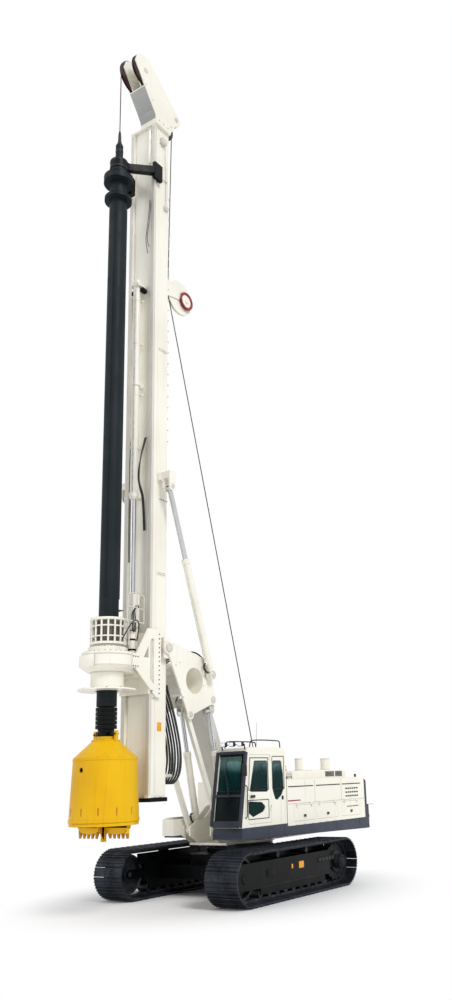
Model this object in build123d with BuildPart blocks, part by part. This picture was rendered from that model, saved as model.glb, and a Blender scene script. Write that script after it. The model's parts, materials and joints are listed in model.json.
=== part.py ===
"""Rotary piling rig on tracks, in millimetres.

X runs forward to the drilling tool, Y to the driver's left, Z up. The ground is Z = 0 and the
origin is the middle of the machine's footprint. Side profiles are given as (forward, up) points
measured from the slew axis, which stands at X = SLEW_X.
"""

import os
from math import asin, atan2, cos, degrees, hypot, pi, radians, sin

from build123d import *

os.makedirs("parts", exist_ok=True)

# ---------------------------------------------------------------- driving dimensions
# overall reach
KELLY_REACH = 5430  # slew axis to drilling axis
TAIL_REACH = 5200  # slew axis to back of counterweight
BUCKET_RADIUS = 830

# running clearances
RUN_GAP = 5  # between faces that move past each other
PIN_GAP = 1  # between a pin and its bore, and a rod and its gland
SEAT_GAP = 0.5  # between round faces of two bodies that seem to touch

# tracks
TRACK_LENGTH = 5950
TRACK_HEIGHT = 1330
TRACK_CENTRE = 440  # track centre ahead of slew axis
OVERALL_WIDTH = 4800
SHOE_WIDTH = 1000
SHOE_COUNT = 54
SHOE_PLATE = 28
GROUSER_HEIGHT = 30
CHAIN_DEPTH = 90
CHAIN_WIDTH = 320
ROLLER_COUNT = 9
ROLLER_RADIUS = 105
CARRIER_RADIUS = 75

# upper structure
DECK_HEIGHT = 1820
SKIRT_FRONT_LOW = 1530
SKIRT_BACK_LOW = 1400
BODY_HALF_WIDTH = 1620
HOUSE_FRONT = -60
HOUSE_BACK = -4600
HOUSE_TOP = 3000
HOUSE_WALL = 40
BAY_HALF_WIDTH = 600  # open bay for boom and winch between the two house sides
BAY_BACK = -2100

# cab
CAB_INNER = 660
CAB_OUTER = 1620
CAB_WALL = 50
GLASS = 8

# mast
MAST_HALF_WIDTH = 460
MAST_BACK = 3770
MAST_FRONT = 4350
MAST_BOTTOM = 2680
MAST_TOP = 22700
MAST_WALL = 16
RAIL_DEPTH = 80
RAIL_INNER = 360
RAIL_OUTER = 500

# linkage pins, as (forward, up)
BOOM_FOOT = (670, 2180)
LINK_FOOT = (1630, 1740)
LINK_HEAD = (3000, 4760)
BOOM_HEAD = (BOOM_FOOT[0] + LINK_HEAD[0] - LINK_FOOT[0], BOOM_FOOT[1] + LINK_HEAD[1] - LINK_FOOT[1])
LIFT_FOOT = (1350, 1860)
LIFT_HEAD = (BOOM_HEAD[0] - 30, BOOM_HEAD[1] - 285)
TILT_FOOT = (2270, 5850)
TILT_HEAD = (4030, 10850)
MAST_PIVOT = (3870, 6450)

# kelly and drive
KELLY_RADIUS = 250
KELLY_WALL = 30
KELLY_STEP = 10  # free ring between one kelly tube and the next
KELLY_BOTTOM = 4890
ROPE_RADIUS = 15

# ---------------------------------------------------------------- derived values and planes
SLEW_X = (TAIL_REACH - KELLY_REACH - BUCKET_RADIUS) / 2
KELLY_X = SLEW_X + KELLY_REACH


def side_plane(y):
    """Plane at width y whose first axis is forward and second is up; it extrudes towards -Y."""
    return Plane(origin=(SLEW_X, y, 0), x_dir=(1, 0, 0), z_dir=(0, -1, 0))


def level_plane(z, forward=0, y=0):
    """Horizontal plane at height z."""
    return Plane(origin=(SLEW_X + forward, y, z))


def aim_plane(start, end, y):
    """Plane at start, across the line from start to end, both as (forward, up)."""
    run = (end[0] - start[0], 0, end[1] - start[1])
    return Plane(origin=(SLEW_X + start[0], y, start[1]), x_dir=(0, 1, 0), z_dir=run)


def between(start, end):
    """Length of the line from start to end."""
    return hypot(end[0] - start[0], end[1] - start[1])


def toward(start, end, distance):
    """Point at a distance from start on the line to end."""
    share = distance / between(start, end)
    return (start[0] + share * (end[0] - start[0]), start[1] + share * (end[1] - start[1]))


def save(part, label):
    """Label a finished part and write it."""
    part.label = label
    export_step(part, f"parts/{label}.step")


# ================================================================ undercarriage
track_y = (OVERALL_WIDTH - SHOE_WIDTH) / 2
track_axle = TRACK_HEIGHT / 2
wheel_span = TRACK_LENGTH - TRACK_HEIGHT
plate_radius = track_axle - GROUSER_HEIGHT
chain_outer = plate_radius - SHOE_PLATE
chain_inner = chain_outer - CHAIN_DEPTH
shoe_run = 2 * wheel_span + 2 * pi * chain_outer
shoe_pitch = shoe_run / SHOE_COUNT
SHOE_JOINT = 8  # open joint between shoes
GROUSER_WIDTH = 18
SHOE_SINK = 8  # depth of a shoe's seat in the chain


def loop_place(distance):
    """Place on the chain's outer line: (forward, up) and the direction of travel in degrees."""
    bend = pi * chain_outer
    if distance < wheel_span:
        return (wheel_span / 2 - distance, track_axle + chain_outer, 180)
    if distance < wheel_span + bend:
        turn = (distance - wheel_span) / chain_outer
        across = -wheel_span / 2 - chain_outer * sin(turn)
        return (across, track_axle + chain_outer * cos(turn), 180 + degrees(turn))
    if distance < 2 * wheel_span + bend:
        return (distance - wheel_span - bend - wheel_span / 2, track_axle - chain_outer, 360)
    turn = (distance - 2 * wheel_span - bend) / chain_outer
    across = wheel_span / 2 + chain_outer * sin(turn)
    return (across, track_axle - chain_outer * cos(turn), 360 + degrees(turn))


with BuildPart() as track_left:
    with BuildSketch(side_plane(track_y)):
        with Locations((TRACK_CENTRE, track_axle)):
            SlotCenterToCenter(wheel_span, 2 * chain_outer)
            SlotCenterToCenter(wheel_span, 2 * chain_inner, mode=Mode.SUBTRACT)
    extrude(amount=CHAIN_WIDTH / 2, both=True)
    for number in range(SHOE_COUNT):
        across, up, heading = loop_place((number + 0.5) * shoe_pitch)
        along = (cos(radians(heading)), 0, sin(radians(heading)))
        seat = (SLEW_X + TRACK_CENTRE + across, track_y, up)
        with BuildSketch(Plane(origin=seat, x_dir=along, z_dir=(0, -1, 0))):
            with Locations((0, (SHOE_SINK - SHOE_PLATE) / 2)):
                Rectangle(shoe_pitch - SHOE_JOINT, SHOE_PLATE + SHOE_SINK)
            with Locations((0, -SHOE_PLATE - GROUSER_HEIGHT / 2)):
                Rectangle(GROUSER_WIDTH, GROUSER_HEIGHT)
        extrude(amount=SHOE_WIDTH / 2, both=True)
save(track_left.part, "track_left")
save(mirror(track_left.part, about=Plane.XZ), "track_right")

FRAME_HALF = 1720  # half length of a track frame's box
FRAME_BOTTOM = 380
FRAME_TOP = 1000
FRAME_INNER = 1690
FRAME_OUTER = 2110
CHEEK_THICK = 40  # outer cover plate of a track frame
CHEEK_BOTTOM = 390
CHEEK_BACK = -1780  # back end of the cover, behind the track's centre
CHEEK_ROUND = 490  # its round front end, about the idler
FRAME_TAPER = 120
GUARD_THICK = 30
ROLLER_SIDE_GAP = 10
YOKE_HEIGHT = 240
AXLE_RADIUS = 60
CARRIER_PLACES = (-700, 700)
POST_WIDTH = 60
frame_width = FRAME_OUTER - FRAME_INNER
roller_z = track_axle - chain_inner + ROLLER_RADIUS + SEAT_GAP
carrier_z = track_axle + chain_inner - CARRIER_RADIUS - SEAT_GAP
guard_low = roller_z - 30
cheek_top = FRAME_TOP + 20
wheel_places = [(TRACK_CENTRE - wheel_span / 2, track_axle), (TRACK_CENTRE + wheel_span / 2, track_axle)]

with BuildPart() as track_frame_left:
    frame_face = side_plane(FRAME_OUTER)
    with BuildSketch(frame_face):
        with Locations((TRACK_CENTRE, (FRAME_BOTTOM + FRAME_TOP) / 2)):
            box = Rectangle(2 * FRAME_HALF, FRAME_TOP - FRAME_BOTTOM)
        chamfer(box.vertices(), FRAME_TAPER)
    extrude(amount=frame_width)
    # guards beside the rollers, and yokes beside the end wheels
    for face in (0, GUARD_THICK - frame_width):
        with BuildSketch(frame_face.offset(-face)):
            with Locations((TRACK_CENTRE, (guard_low + FRAME_BOTTOM + 20) / 2)):
                Rectangle(2 * FRAME_HALF - 300, FRAME_BOTTOM + 20 - guard_low)
            with Locations((TRACK_CENTRE, track_axle)):
                SlotCenterToCenter(wheel_span, YOKE_HEIGHT)
        extrude(amount=GUARD_THICK)
    # cover plate outside the frame, round over the idler and open behind for the final drive
    with BuildSketch(side_plane(FRAME_OUTER + CHEEK_THICK)):
        with Locations((TRACK_CENTRE + (CHEEK_BACK + wheel_span / 2) / 2, (CHEEK_BOTTOM + cheek_top) / 2)):
            Rectangle(wheel_span / 2 - CHEEK_BACK, cheek_top - CHEEK_BOTTOM)
        with Locations(wheel_places[1]):
            Circle(CHEEK_ROUND)
        with Locations((wheel_places[1][0], CHEEK_BOTTOM - CHEEK_ROUND)):
            Rectangle(2 * CHEEK_ROUND, 2 * CHEEK_ROUND, mode=Mode.SUBTRACT)
        with Locations((wheel_places[1][0], cheek_top + CHEEK_ROUND)):
            Rectangle(2 * CHEEK_ROUND, 2 * CHEEK_ROUND, mode=Mode.SUBTRACT)
    extrude(amount=CHEEK_THICK)
    # bores of the end axles
    with BuildSketch(frame_face):
        with Locations(*wheel_places):
            Circle(AXLE_RADIUS + PIN_GAP)
    extrude(amount=frame_width, mode=Mode.SUBTRACT)
    # posts that hold the carrier rollers
    for across in CARRIER_PLACES:
        with BuildSketch(level_plane(FRAME_TOP - 10, TRACK_CENTRE + across, FRAME_INNER + POST_WIDTH / 2)):
            Rectangle(120, POST_WIDTH)
        extrude(amount=carrier_z + 40 - FRAME_TOP)
save(track_frame_left.part, "track_frame_left")
save(mirror(track_frame_left.part, about=Plane.XZ), "track_frame_right")

roller_inner = FRAME_INNER + GUARD_THICK + ROLLER_SIDE_GAP
roller_outer = FRAME_OUTER - GUARD_THICK - ROLLER_SIDE_GAP
roller_step = (2 * FRAME_HALF - 400) / (ROLLER_COUNT - 1)
roller_places = [
    (TRACK_CENTRE + (number - (ROLLER_COUNT - 1) / 2) * roller_step, roller_z)
    for number in range(ROLLER_COUNT)
]
carrier_places = [(TRACK_CENTRE + across, carrier_z) for across in CARRIER_PLACES]
carrier_inner = FRAME_INNER + POST_WIDTH

with BuildPart() as track_rollers:
    # places, radius, inner and outer width
    for places, radius, inner, outer in (
        (roller_places, ROLLER_RADIUS, roller_inner, roller_outer),
        (roller_places, 35, roller_inner - ROLLER_SIDE_GAP, roller_outer + ROLLER_SIDE_GAP),
        (carrier_places, CARRIER_RADIUS, carrier_inner + ROLLER_SIDE_GAP, roller_outer),
        (carrier_places, 25, carrier_inner, roller_outer),
    ):
        with BuildSketch(side_plane(outer)):
            with Locations(*places):
                Circle(radius)
        extrude(amount=outer - inner)
    mirror(about=Plane.XZ)
save(track_rollers.part, "track_rollers")

WHEEL_RIM = 60
WHEEL_WEB = 90
HUB_RADIUS = 150
wheel_inner = roller_inner + 10
wheel_outer = roller_outer - 10
wheel_radius = chain_inner - SEAT_GAP
idler_place = wheel_places[1]
sprocket_place = wheel_places[0]

with BuildPart() as track_idlers:
    middle = side_plane(track_y)
    with BuildSketch(middle):
        with Locations(idler_place):
            Circle(wheel_radius)
            Circle(wheel_radius - WHEEL_RIM, mode=Mode.SUBTRACT)
            Circle(HUB_RADIUS)
    extrude(amount=(wheel_outer - wheel_inner) / 2, both=True)
    with BuildSketch(middle):
        with Locations(idler_place):
            Circle(wheel_radius - WHEEL_RIM / 2)
    extrude(amount=WHEEL_WEB / 2, both=True)
    with BuildSketch(side_plane(FRAME_OUTER)):
        with Locations(idler_place):
            Circle(AXLE_RADIUS)
    extrude(amount=frame_width)
    mirror(about=Plane.XZ)
save(track_idlers.part, "track_idlers")

TOOTH_COUNT = 15
TOOTH_HEIGHT = 40
TOOTH_ROOT = 90
DRIVE_RADIUS = 290
DRIVE_OUTER = 2240  # how far the final drive's cover stands out
COVER_RADIUS = 200

with BuildPart() as drive_sprockets:
    with BuildSketch(middle):
        with Locations(sprocket_place):
            Circle(wheel_radius - TOOTH_HEIGHT)
            with PolarLocations(wheel_radius - TOOTH_HEIGHT, TOOTH_COUNT):
                Rectangle(2 * TOOTH_HEIGHT - 10, TOOTH_ROOT)
    extrude(amount=(wheel_outer - wheel_inner) / 2 - 40, both=True)
    # final drive: a drum through the sprocket with a stepped cover outside the frame
    with BuildSketch(side_plane(FRAME_OUTER - GUARD_THICK - RUN_GAP)):
        with Locations(sprocket_place):
            Circle(DRIVE_RADIUS)
    extrude(amount=frame_width - 2 * GUARD_THICK - 2 * RUN_GAP)
    with BuildSketch(side_plane(FRAME_OUTER + 40)):
        with Locations(sprocket_place):
            Circle(AXLE_RADIUS)
    extrude(amount=frame_width + 40)
    with BuildSketch(side_plane(DRIVE_OUTER)):
        with Locations(sprocket_place):
            Circle(COVER_RADIUS)
    extrude(amount=DRIVE_OUTER - FRAME_OUTER)
    mirror(about=Plane.XZ)
save(drive_sprockets.part, "drive_sprockets")

# car body: a box between the tracks, four arms to the frames and the slew bearing's seat
CAR_HALF_LENGTH = 1150
CAR_HALF_WIDTH = 1050
CAR_BOTTOM = 430
CAR_TOP = 1080
ARM_CENTRE = 900
ARM_WIDTH = 460
ARM_BOTTOM = 450
ARM_TOP = 800
TOW_RADIUS = 35
TOW_THICK = 60
TOW_REACH = 60
TOW_HEIGHT = 620
TOW_FRONT = TRACK_CENTRE + ARM_CENTRE + ARM_WIDTH / 2 + TOW_REACH
TOW_BACK = TRACK_CENTRE / 2 - CAR_HALF_LENGTH - TOW_REACH
SEAT_RADIUS = 960
BEARING_OUTER = 920
BEARING_INNER = 800
BEARING_BOTTOM = 1200
BEARING_TOP = 1320

with BuildPart() as car_body:
    with BuildSketch(level_plane(CAR_BOTTOM, TRACK_CENTRE / 2)):
        box = Rectangle(2 * CAR_HALF_LENGTH, 2 * CAR_HALF_WIDTH)
        chamfer(box.vertices(), 350)
    extrude(amount=CAR_TOP - CAR_BOTTOM)
    with BuildSketch(level_plane(ARM_BOTTOM)):
        with Locations((TRACK_CENTRE - ARM_CENTRE, 0), (TRACK_CENTRE + ARM_CENTRE, 0)):
            Rectangle(ARM_WIDTH, 2 * FRAME_INNER)
    extrude(amount=ARM_TOP - ARM_BOTTOM)
    with BuildSketch(level_plane(CAR_TOP)):
        Circle(SEAT_RADIUS)
    extrude(amount=BEARING_BOTTOM - CAR_TOP)
    # tow eyes on the front arm and the back wall
    for eye in (TOW_FRONT, TOW_BACK):
        with BuildSketch(level_plane(TOW_HEIGHT - TOW_THICK / 2, eye)):
            Rectangle(2 * TOW_REACH + 40, 200)
            Circle(TOW_RADIUS, mode=Mode.SUBTRACT)
        extrude(amount=TOW_THICK)
    with BuildSketch(level_plane(CAR_BOTTOM)):
        Circle(300)
    extrude(amount=BEARING_BOTTOM - CAR_BOTTOM, mode=Mode.SUBTRACT)
save(car_body.part, "car_body")

with BuildPart() as slew_bearing:
    with BuildSketch(level_plane(BEARING_BOTTOM)):
        Circle(BEARING_OUTER)
        Circle(BEARING_INNER, mode=Mode.SUBTRACT)
    extrude(amount=BEARING_TOP - BEARING_BOTTOM)
save(slew_bearing.part, "slew_bearing")

# ================================================================ upper structure
WEB_INNER = 340  # pair of long webs on each side of the boom's channel
WEB_THICK = 50
WEB_OUTER = 645
OUTER_WEB_THICK = 30
FLOOR_THICK = 60
BASE_BOTTOM = 1340
BASE_THICK = 60
DECK_FRONT = 2100
RIGHT_FRONT = 1450  # front edge of the deck beside the boom, on the right
SKIRT_WALL = 30
RING_RADIUS = BEARING_INNER - RUN_GAP
RING_INNER = 640
PIVOT_BOSS = 190
LIFT_PIN = 50
LINK_PIN = 60
BOOM_PIN = 80
web_low = BASE_BOTTOM + BASE_THICK - 10
FLOOR_LAP = 15  # floor plate into the web's side
floor_edge = BODY_HALF_WIDTH - SKIRT_WALL - 15

ROPE_SLOT_CENTRE = -1400
ROPE_SLOT_LENGTH = 640
ROPE_SLOT_WIDTH = 160

with BuildPart() as main_frame:
    # base plate over the bearing and the inner ring that turns in it
    with BuildSketch(level_plane(BASE_BOTTOM)):
        with Locations((-900, 0)):
            Rectangle(4800, 2 * WEB_OUTER)
        Circle(BEARING_OUTER + 60)
        Circle(RING_INNER - 200, mode=Mode.SUBTRACT)
        # slot under the winch, where the rope's lower end comes down
        with Locations((ROPE_SLOT_CENTRE, 0)):
            SlotOverall(ROPE_SLOT_LENGTH, ROPE_SLOT_WIDTH, mode=Mode.SUBTRACT)
    extrude(amount=BASE_THICK)
    with BuildSketch(level_plane(BEARING_BOTTOM + RUN_GAP)):
        Circle(RING_RADIUS)
        Circle(RING_INNER, mode=Mode.SUBTRACT)
    extrude(amount=BASE_BOTTOM - BEARING_BOTTOM)
    # webs on the left: outer face and thickness of each
    for face, thick in ((WEB_INNER + WEB_THICK, WEB_THICK), (WEB_OUTER, OUTER_WEB_THICK)):
        with BuildSketch(side_plane(face)):
            with BuildLine():
                Polyline(
                    (HOUSE_BACK, web_low), (HOUSE_BACK, DECK_HEIGHT), (250, DECK_HEIGHT),
                    (520, BOOM_FOOT[1] + 150), (830, BOOM_FOOT[1] + 150), (1200, 2030), (1520, 2000),
                    (1840, 1830), (1840, 1600), (1450, web_low), close=True,
                )
            make_face()
            with Locations(BOOM_FOOT):
                Circle(PIVOT_BOSS)
        extrude(amount=thick)
    # floor of the house between the webs, behind the winch's bay
    with BuildSketch(level_plane(DECK_HEIGHT - FLOOR_THICK)):
        with Locations(((BAY_BACK + HOUSE_BACK) / 2, 0)):
            Rectangle(BAY_BACK - HOUSE_BACK, 2 * WEB_OUTER)
    extrude(amount=FLOOR_THICK)
    # pins of boom, links and boom cylinders
    for place, radius in ((BOOM_FOOT, BOOM_PIN), (LINK_FOOT, LINK_PIN), (LIFT_FOOT, LIFT_PIN)):
        reach = WEB_INNER + WEB_THICK if place == BOOM_FOOT else WEB_OUTER
        with BuildSketch(side_plane(reach)):
            with Locations(place):
                Circle(radius)
        extrude(amount=reach if place == BOOM_FOOT else reach - WEB_INNER)
    mirror(about=Plane.XZ)
    # floor under cab and house
    for side, front in ((1, DECK_FRONT), (-1, RIGHT_FRONT)):
        with BuildSketch(level_plane(DECK_HEIGHT - FLOOR_THICK)):
            with Locations(((front + HOUSE_BACK) / 2, side * (floor_edge + WEB_OUTER - FLOOR_LAP) / 2)):
                Rectangle(front - HOUSE_BACK, floor_edge - WEB_OUTER + FLOOR_LAP)
        extrude(amount=FLOOR_THICK)
save(main_frame.part, "main_frame")

# slate skirt round the deck: lower towards the back, and lower at the top beside the house
HOUSE_SILL = 1740
skirt_slope = (SKIRT_FRONT_LOW - SKIRT_BACK_LOW) / (DECK_FRONT - HOUSE_BACK)

with BuildPart() as side_skirts:
    for face, front in ((BODY_HALF_WIDTH, DECK_FRONT), (SKIRT_WALL - BODY_HALF_WIDTH, RIGHT_FRONT)):
        low = SKIRT_BACK_LOW + skirt_slope * (front - HOUSE_BACK)
        with BuildSketch(side_plane(face)):
            with BuildLine():
                Polyline(
                    (HOUSE_BACK, SKIRT_BACK_LOW), (HOUSE_BACK, HOUSE_SILL),
                    (HOUSE_FRONT + RUN_GAP, HOUSE_SILL),
                    (HOUSE_FRONT + RUN_GAP, DECK_HEIGHT), (front, DECK_HEIGHT), (front, low), close=True,
                )
            make_face()
        extrude(amount=SKIRT_WALL)
        side = 1 if face > 0 else -1
        with BuildSketch(level_plane(low)):
            with Locations((front - SKIRT_WALL / 2, side * (WEB_OUTER + RUN_GAP + BODY_HALF_WIDTH) / 2)):
                Rectangle(SKIRT_WALL, BODY_HALF_WIDTH - WEB_OUTER - RUN_GAP)
        extrude(amount=DECK_HEIGHT - FLOOR_THICK - low)
save(side_skirts.part, "side_skirts")

# counterweight behind the house, with a step between its lower and its upper block
WEIGHT_FRONT = HOUSE_BACK - RUN_GAP
WEIGHT_TOP = 2940
WEIGHT_STEP = 110
WEIGHT_STEP_HEIGHT = 2120
WEIGHT_CORNER = 350

with BuildPart() as counterweight:
    # low and high face, and how far the block stands back from the tail
    for low, high, inset in (
        (SKIRT_BACK_LOW, WEIGHT_STEP_HEIGHT, 0),
        (WEIGHT_STEP_HEIGHT, WEIGHT_TOP, WEIGHT_STEP),
    ):
        back = inset - TAIL_REACH
        with BuildSketch(level_plane(low)):
            with BuildLine():
                Polyline(
                    (WEIGHT_FRONT, BODY_HALF_WIDTH), (back + WEIGHT_CORNER, BODY_HALF_WIDTH),
                    (back, BODY_HALF_WIDTH - WEIGHT_CORNER), (back, WEIGHT_CORNER - BODY_HALF_WIDTH),
                    (back + WEIGHT_CORNER, -BODY_HALF_WIDTH), (WEIGHT_FRONT, -BODY_HALF_WIDTH), close=True,
                )
            make_face()
        extrude(amount=high - low)
    top_edges = counterweight.faces().sort_by(Axis.Z)[-1].edges()
    chamfer(top_edges, 60)
save(counterweight.part, "counterweight")

# ---------------------------------------------------------------- hinges of the doors
KNUCKLE_RADIUS = 14
KNUCKLE_OUT = 20  # axis in front of the wall's face
KNUCKLE_LENGTH = 60
KNUCKLE_INSET = 150  # from a door's edge to its knuckle
LEAF_REACH = 60
LEAF_SINK = 5  # leaf into the wall
LEAF_STAND = 8  # leaf's part at the axis, in front of the wall
knuckle_step = KNUCKLE_LENGTH + RUN_GAP


def hinge_half(origin, side, axis, way):
    """Face of a knuckle and its leaf, standing out of a side wall and centred along the axis.

    side is 1 on the left wall and -1 on the right; way is 1 for the half on the wall and -1 for
    the half on the door, whose leaves run opposite ways from the axis.
    """
    wall = Plane(origin=origin, x_dir=(0, side, 0), z_dir=axis)
    leaf_top = KNUCKLE_OUT + KNUCKLE_RADIUS - LEAF_STAND
    with BuildSketch(wall) as half:
        with Locations((KNUCKLE_OUT, 0)):
            Circle(KNUCKLE_RADIUS)
        with Locations(((LEAF_STAND + leaf_top) / 2, way * LEAF_REACH / 2)):
            Rectangle(leaf_top - LEAF_STAND, LEAF_REACH)
        with Locations(((leaf_top - LEAF_SINK) / 2, way * (LEAF_REACH + LEAF_STAND) / 2)):
            Rectangle(leaf_top + LEAF_SINK, LEAF_REACH - LEAF_STAND)
    return half.sketch


# ---------------------------------------------------------------- cab
CAB_FRONT_LOW = 2180
CAB_FRONT_TOP = 1880
CAB_BACK = -20
CAB_ROOF = 3880
CAB_FLOOR = DECK_HEIGHT
CAB_FRONT_RISE = 120  # height of the slanted foot of the front wall
CAB_FRONT_DROP = 130  # depth of the roof's front slope
DOOR_BACK = 750
DOOR_FRONT = 1860
DOOR_LOW = 1900
DOOR_TOP = 3680
CAB_HINGES = (2250, 3580)
DOOR_GAP = 6
cab_outline = [
    (CAB_BACK, CAB_FLOOR), (CAB_BACK, CAB_ROOF - 120), (CAB_BACK + 160, CAB_ROOF),
    (CAB_FRONT_TOP - 180, CAB_ROOF), (CAB_FRONT_TOP, CAB_ROOF - CAB_FRONT_DROP),
    (CAB_FRONT_LOW, CAB_FLOOR + CAB_FRONT_RISE),
    (CAB_FRONT_LOW - 60, CAB_FLOOR),
]
door_outline = [
    (DOOR_BACK, DOOR_LOW), (DOOR_BACK, DOOR_TOP), (DOOR_FRONT - 150, DOOR_TOP),
    (DOOR_FRONT, DOOR_LOW + 700), (DOOR_FRONT, DOOR_LOW + 120), (DOOR_FRONT - 120, DOOR_LOW),
]
door_window = [(870, 2700), (870, 3530), (1510, 3530), (1740, 2720)]
lower_window = [(1790, 2480), (1180, 2440), (985, 2310), (1120, 2190), (1600, 2070), (1790, 2180)]
rear_window = [
    (640, 2700), (640, 3530), (200, 3530), (110, 3150), (90, 2770), (200, 2600), (420, 2470), (540, 2490),
]
inner_window = [(200, 2640), (200, 3530), (1510, 3530), (1740, 2700)]
WINDOW_ROUND = 60


cab_width = CAB_OUTER - CAB_INNER
cab_face = side_plane(CAB_OUTER)
inner_face = side_plane(CAB_INNER + CAB_WALL)
ROOF_WINDOW = 520
REAR_PANE = 600
front_panes = ((2740, 3640), (2000, 2600))  # low and high edge of the windshield and the pane under it
pane_half = cab_width / 2 - 110
cab_middle = (CAB_OUTER + CAB_INNER) / 2
front_height = CAB_ROOF - CAB_FRONT_DROP - CAB_FLOOR - CAB_FRONT_RISE
front_lean = degrees(atan2(CAB_FRONT_LOW - CAB_FRONT_TOP, front_height))


def front_plane(height):
    """Plane on the cab's front at a height: first axis to the left, third axis out and up."""
    share = (height - CAB_FLOOR - CAB_FRONT_RISE) / front_height
    forward = CAB_FRONT_LOW + share * (CAB_FRONT_TOP - CAB_FRONT_LOW)
    normal = (cos(radians(front_lean)), 0, sin(radians(front_lean)))
    return Plane(origin=(SLEW_X + forward, cab_middle, height), x_dir=(0, 1, 0), z_dir=normal)


with BuildPart() as cab_shell:
    with BuildSketch(cab_face):
        with BuildLine():
            Polyline(*cab_outline, close=True)
        make_face()
    extrude(amount=cab_width)
    with BuildSketch(side_plane(CAB_OUTER - CAB_WALL)):
        with BuildLine():
            Polyline(*cab_outline, close=True)
        make_face()
        offset(amount=-CAB_WALL, kind=Kind.INTERSECTION, mode=Mode.REPLACE)
    extrude(amount=cab_width - 2 * CAB_WALL, mode=Mode.SUBTRACT)
    # doorway with its gap, and the window behind it
    with BuildSketch(cab_face):
        with BuildLine():
            Polyline(*door_outline, close=True)
        make_face()
        offset(amount=DOOR_GAP, kind=Kind.INTERSECTION, mode=Mode.REPLACE)
        with BuildLine():
            FilletPolyline(*rear_window, radius=WINDOW_ROUND, close=True)
        make_face()
    extrude(amount=CAB_WALL, mode=Mode.SUBTRACT)
    with BuildSketch(inner_face):
        with BuildLine():
            FilletPolyline(*inner_window, radius=WINDOW_ROUND, close=True)
        make_face()
    extrude(amount=CAB_WALL, mode=Mode.SUBTRACT)
    # front panes, roof window and rear window
    for low, high in front_panes:
        with BuildSketch(front_plane((low + high) / 2)):
            Rectangle(2 * pane_half, high - low)
        extrude(amount=CAB_WALL * 2, both=True, mode=Mode.SUBTRACT)
    with BuildSketch(level_plane(CAB_ROOF, 1150, cab_middle)):
        Rectangle(ROOF_WINDOW, ROOF_WINDOW)
    extrude(amount=-CAB_WALL, mode=Mode.SUBTRACT)
    with BuildSketch(Plane(origin=(SLEW_X + CAB_BACK, cab_middle, 3150), x_dir=(0, 1, 0), z_dir=(1, 0, 0))):
        Rectangle(REAR_PANE, REAR_PANE)
    extrude(amount=CAB_WALL, mode=Mode.SUBTRACT)
    # wall halves of the door's hinges
    for height in CAB_HINGES:
        place = (SLEW_X + DOOR_BACK, CAB_OUTER, height + knuckle_step)
        extrude(hinge_half(place, 1, (0, 0, 1), 1), amount=KNUCKLE_LENGTH / 2, both=True)
save(cab_shell.part, "cab_shell")

pane_inset = (CAB_WALL - GLASS) / 2
with BuildPart() as cab_glass:
    with BuildSketch(side_plane(CAB_OUTER - pane_inset)):
        with BuildLine():
            FilletPolyline(*rear_window, radius=WINDOW_ROUND, close=True)
        make_face()
    extrude(amount=GLASS)
    with BuildSketch(side_plane(CAB_INNER + CAB_WALL - pane_inset)):
        with BuildLine():
            FilletPolyline(*inner_window, radius=WINDOW_ROUND, close=True)
        make_face()
    extrude(amount=GLASS)
    for low, high in front_panes:
        with BuildSketch(front_plane((low + high) / 2).offset(-pane_inset)):
            Rectangle(2 * pane_half, high - low)
        extrude(amount=-GLASS)
    with BuildSketch(level_plane(CAB_ROOF - pane_inset, 1150, cab_middle)):
        Rectangle(ROOF_WINDOW, ROOF_WINDOW)
    extrude(amount=-GLASS)
    with BuildSketch(
        Plane(origin=(SLEW_X + CAB_BACK + pane_inset, cab_middle, 3150), x_dir=(0, 1, 0), z_dir=(1, 0, 0))
    ):
        Rectangle(REAR_PANE, REAR_PANE)
    extrude(amount=GLASS)
save(cab_glass.part, "cab_glass")

with BuildPart() as cab_door:
    with BuildSketch(cab_face):
        with BuildLine():
            Polyline(*door_outline, close=True)
        make_face()
        for window in (door_window, lower_window):
            with BuildLine():
                FilletPolyline(*window, radius=WINDOW_ROUND, close=True)
            make_face(mode=Mode.SUBTRACT)
    extrude(amount=CAB_WALL)
    # handle near the front edge
    with BuildSketch(side_plane(CAB_OUTER + 35)):
        with Locations((1640, 2600)):
            RectangleRounded(150, 40, 15)
    extrude(amount=35)
    for height in CAB_HINGES:
        place = (SLEW_X + DOOR_BACK, CAB_OUTER, height)
        extrude(hinge_half(place, 1, (0, 0, 1), -1), amount=KNUCKLE_LENGTH / 2, both=True)
save(cab_door.part, "cab_door")

with BuildPart() as cab_door_glass:
    for window in (door_window, lower_window):
        with BuildSketch(side_plane(CAB_OUTER - pane_inset)):
            with BuildLine():
                FilletPolyline(*window, radius=WINDOW_ROUND, close=True)
            make_face()
        extrude(amount=GLASS)
save(cab_door_glass.part, "cab_door_glass")

SEAT_X = 620
SEAT_WIDTH = 480
with BuildPart() as cab_seat:
    with BuildSketch(side_plane(cab_middle + SEAT_WIDTH / 2)):
        with BuildLine():
            Polyline(
                (SEAT_X - 200, CAB_FLOOR + CAB_WALL), (SEAT_X - 240, 2320), (SEAT_X - 360, 2980),
                (SEAT_X - 240, 3000), (SEAT_X - 130, 2450), (SEAT_X + 330, 2480), (SEAT_X + 340, 2330),
                (SEAT_X + 160, 2280), (SEAT_X + 160, CAB_FLOOR + CAB_WALL), close=True,
            )
        make_face()
    extrude(amount=SEAT_WIDTH)
    # control consoles beside the seat and a foot rest with the front console
    for y in (cab_middle + SEAT_WIDTH / 2 + 20, cab_middle - SEAT_WIDTH / 2 - 20):
        with BuildSketch(level_plane(2250, SEAT_X + 120, y)):
            Rectangle(520, 100)
        extrude(amount=320)
    with BuildSketch(level_plane(CAB_FLOOR + CAB_WALL, 1780, cab_middle)):
        Rectangle(200, 300)
    extrude(amount=760)
save(cab_seat.part, "cab_seat")

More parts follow.
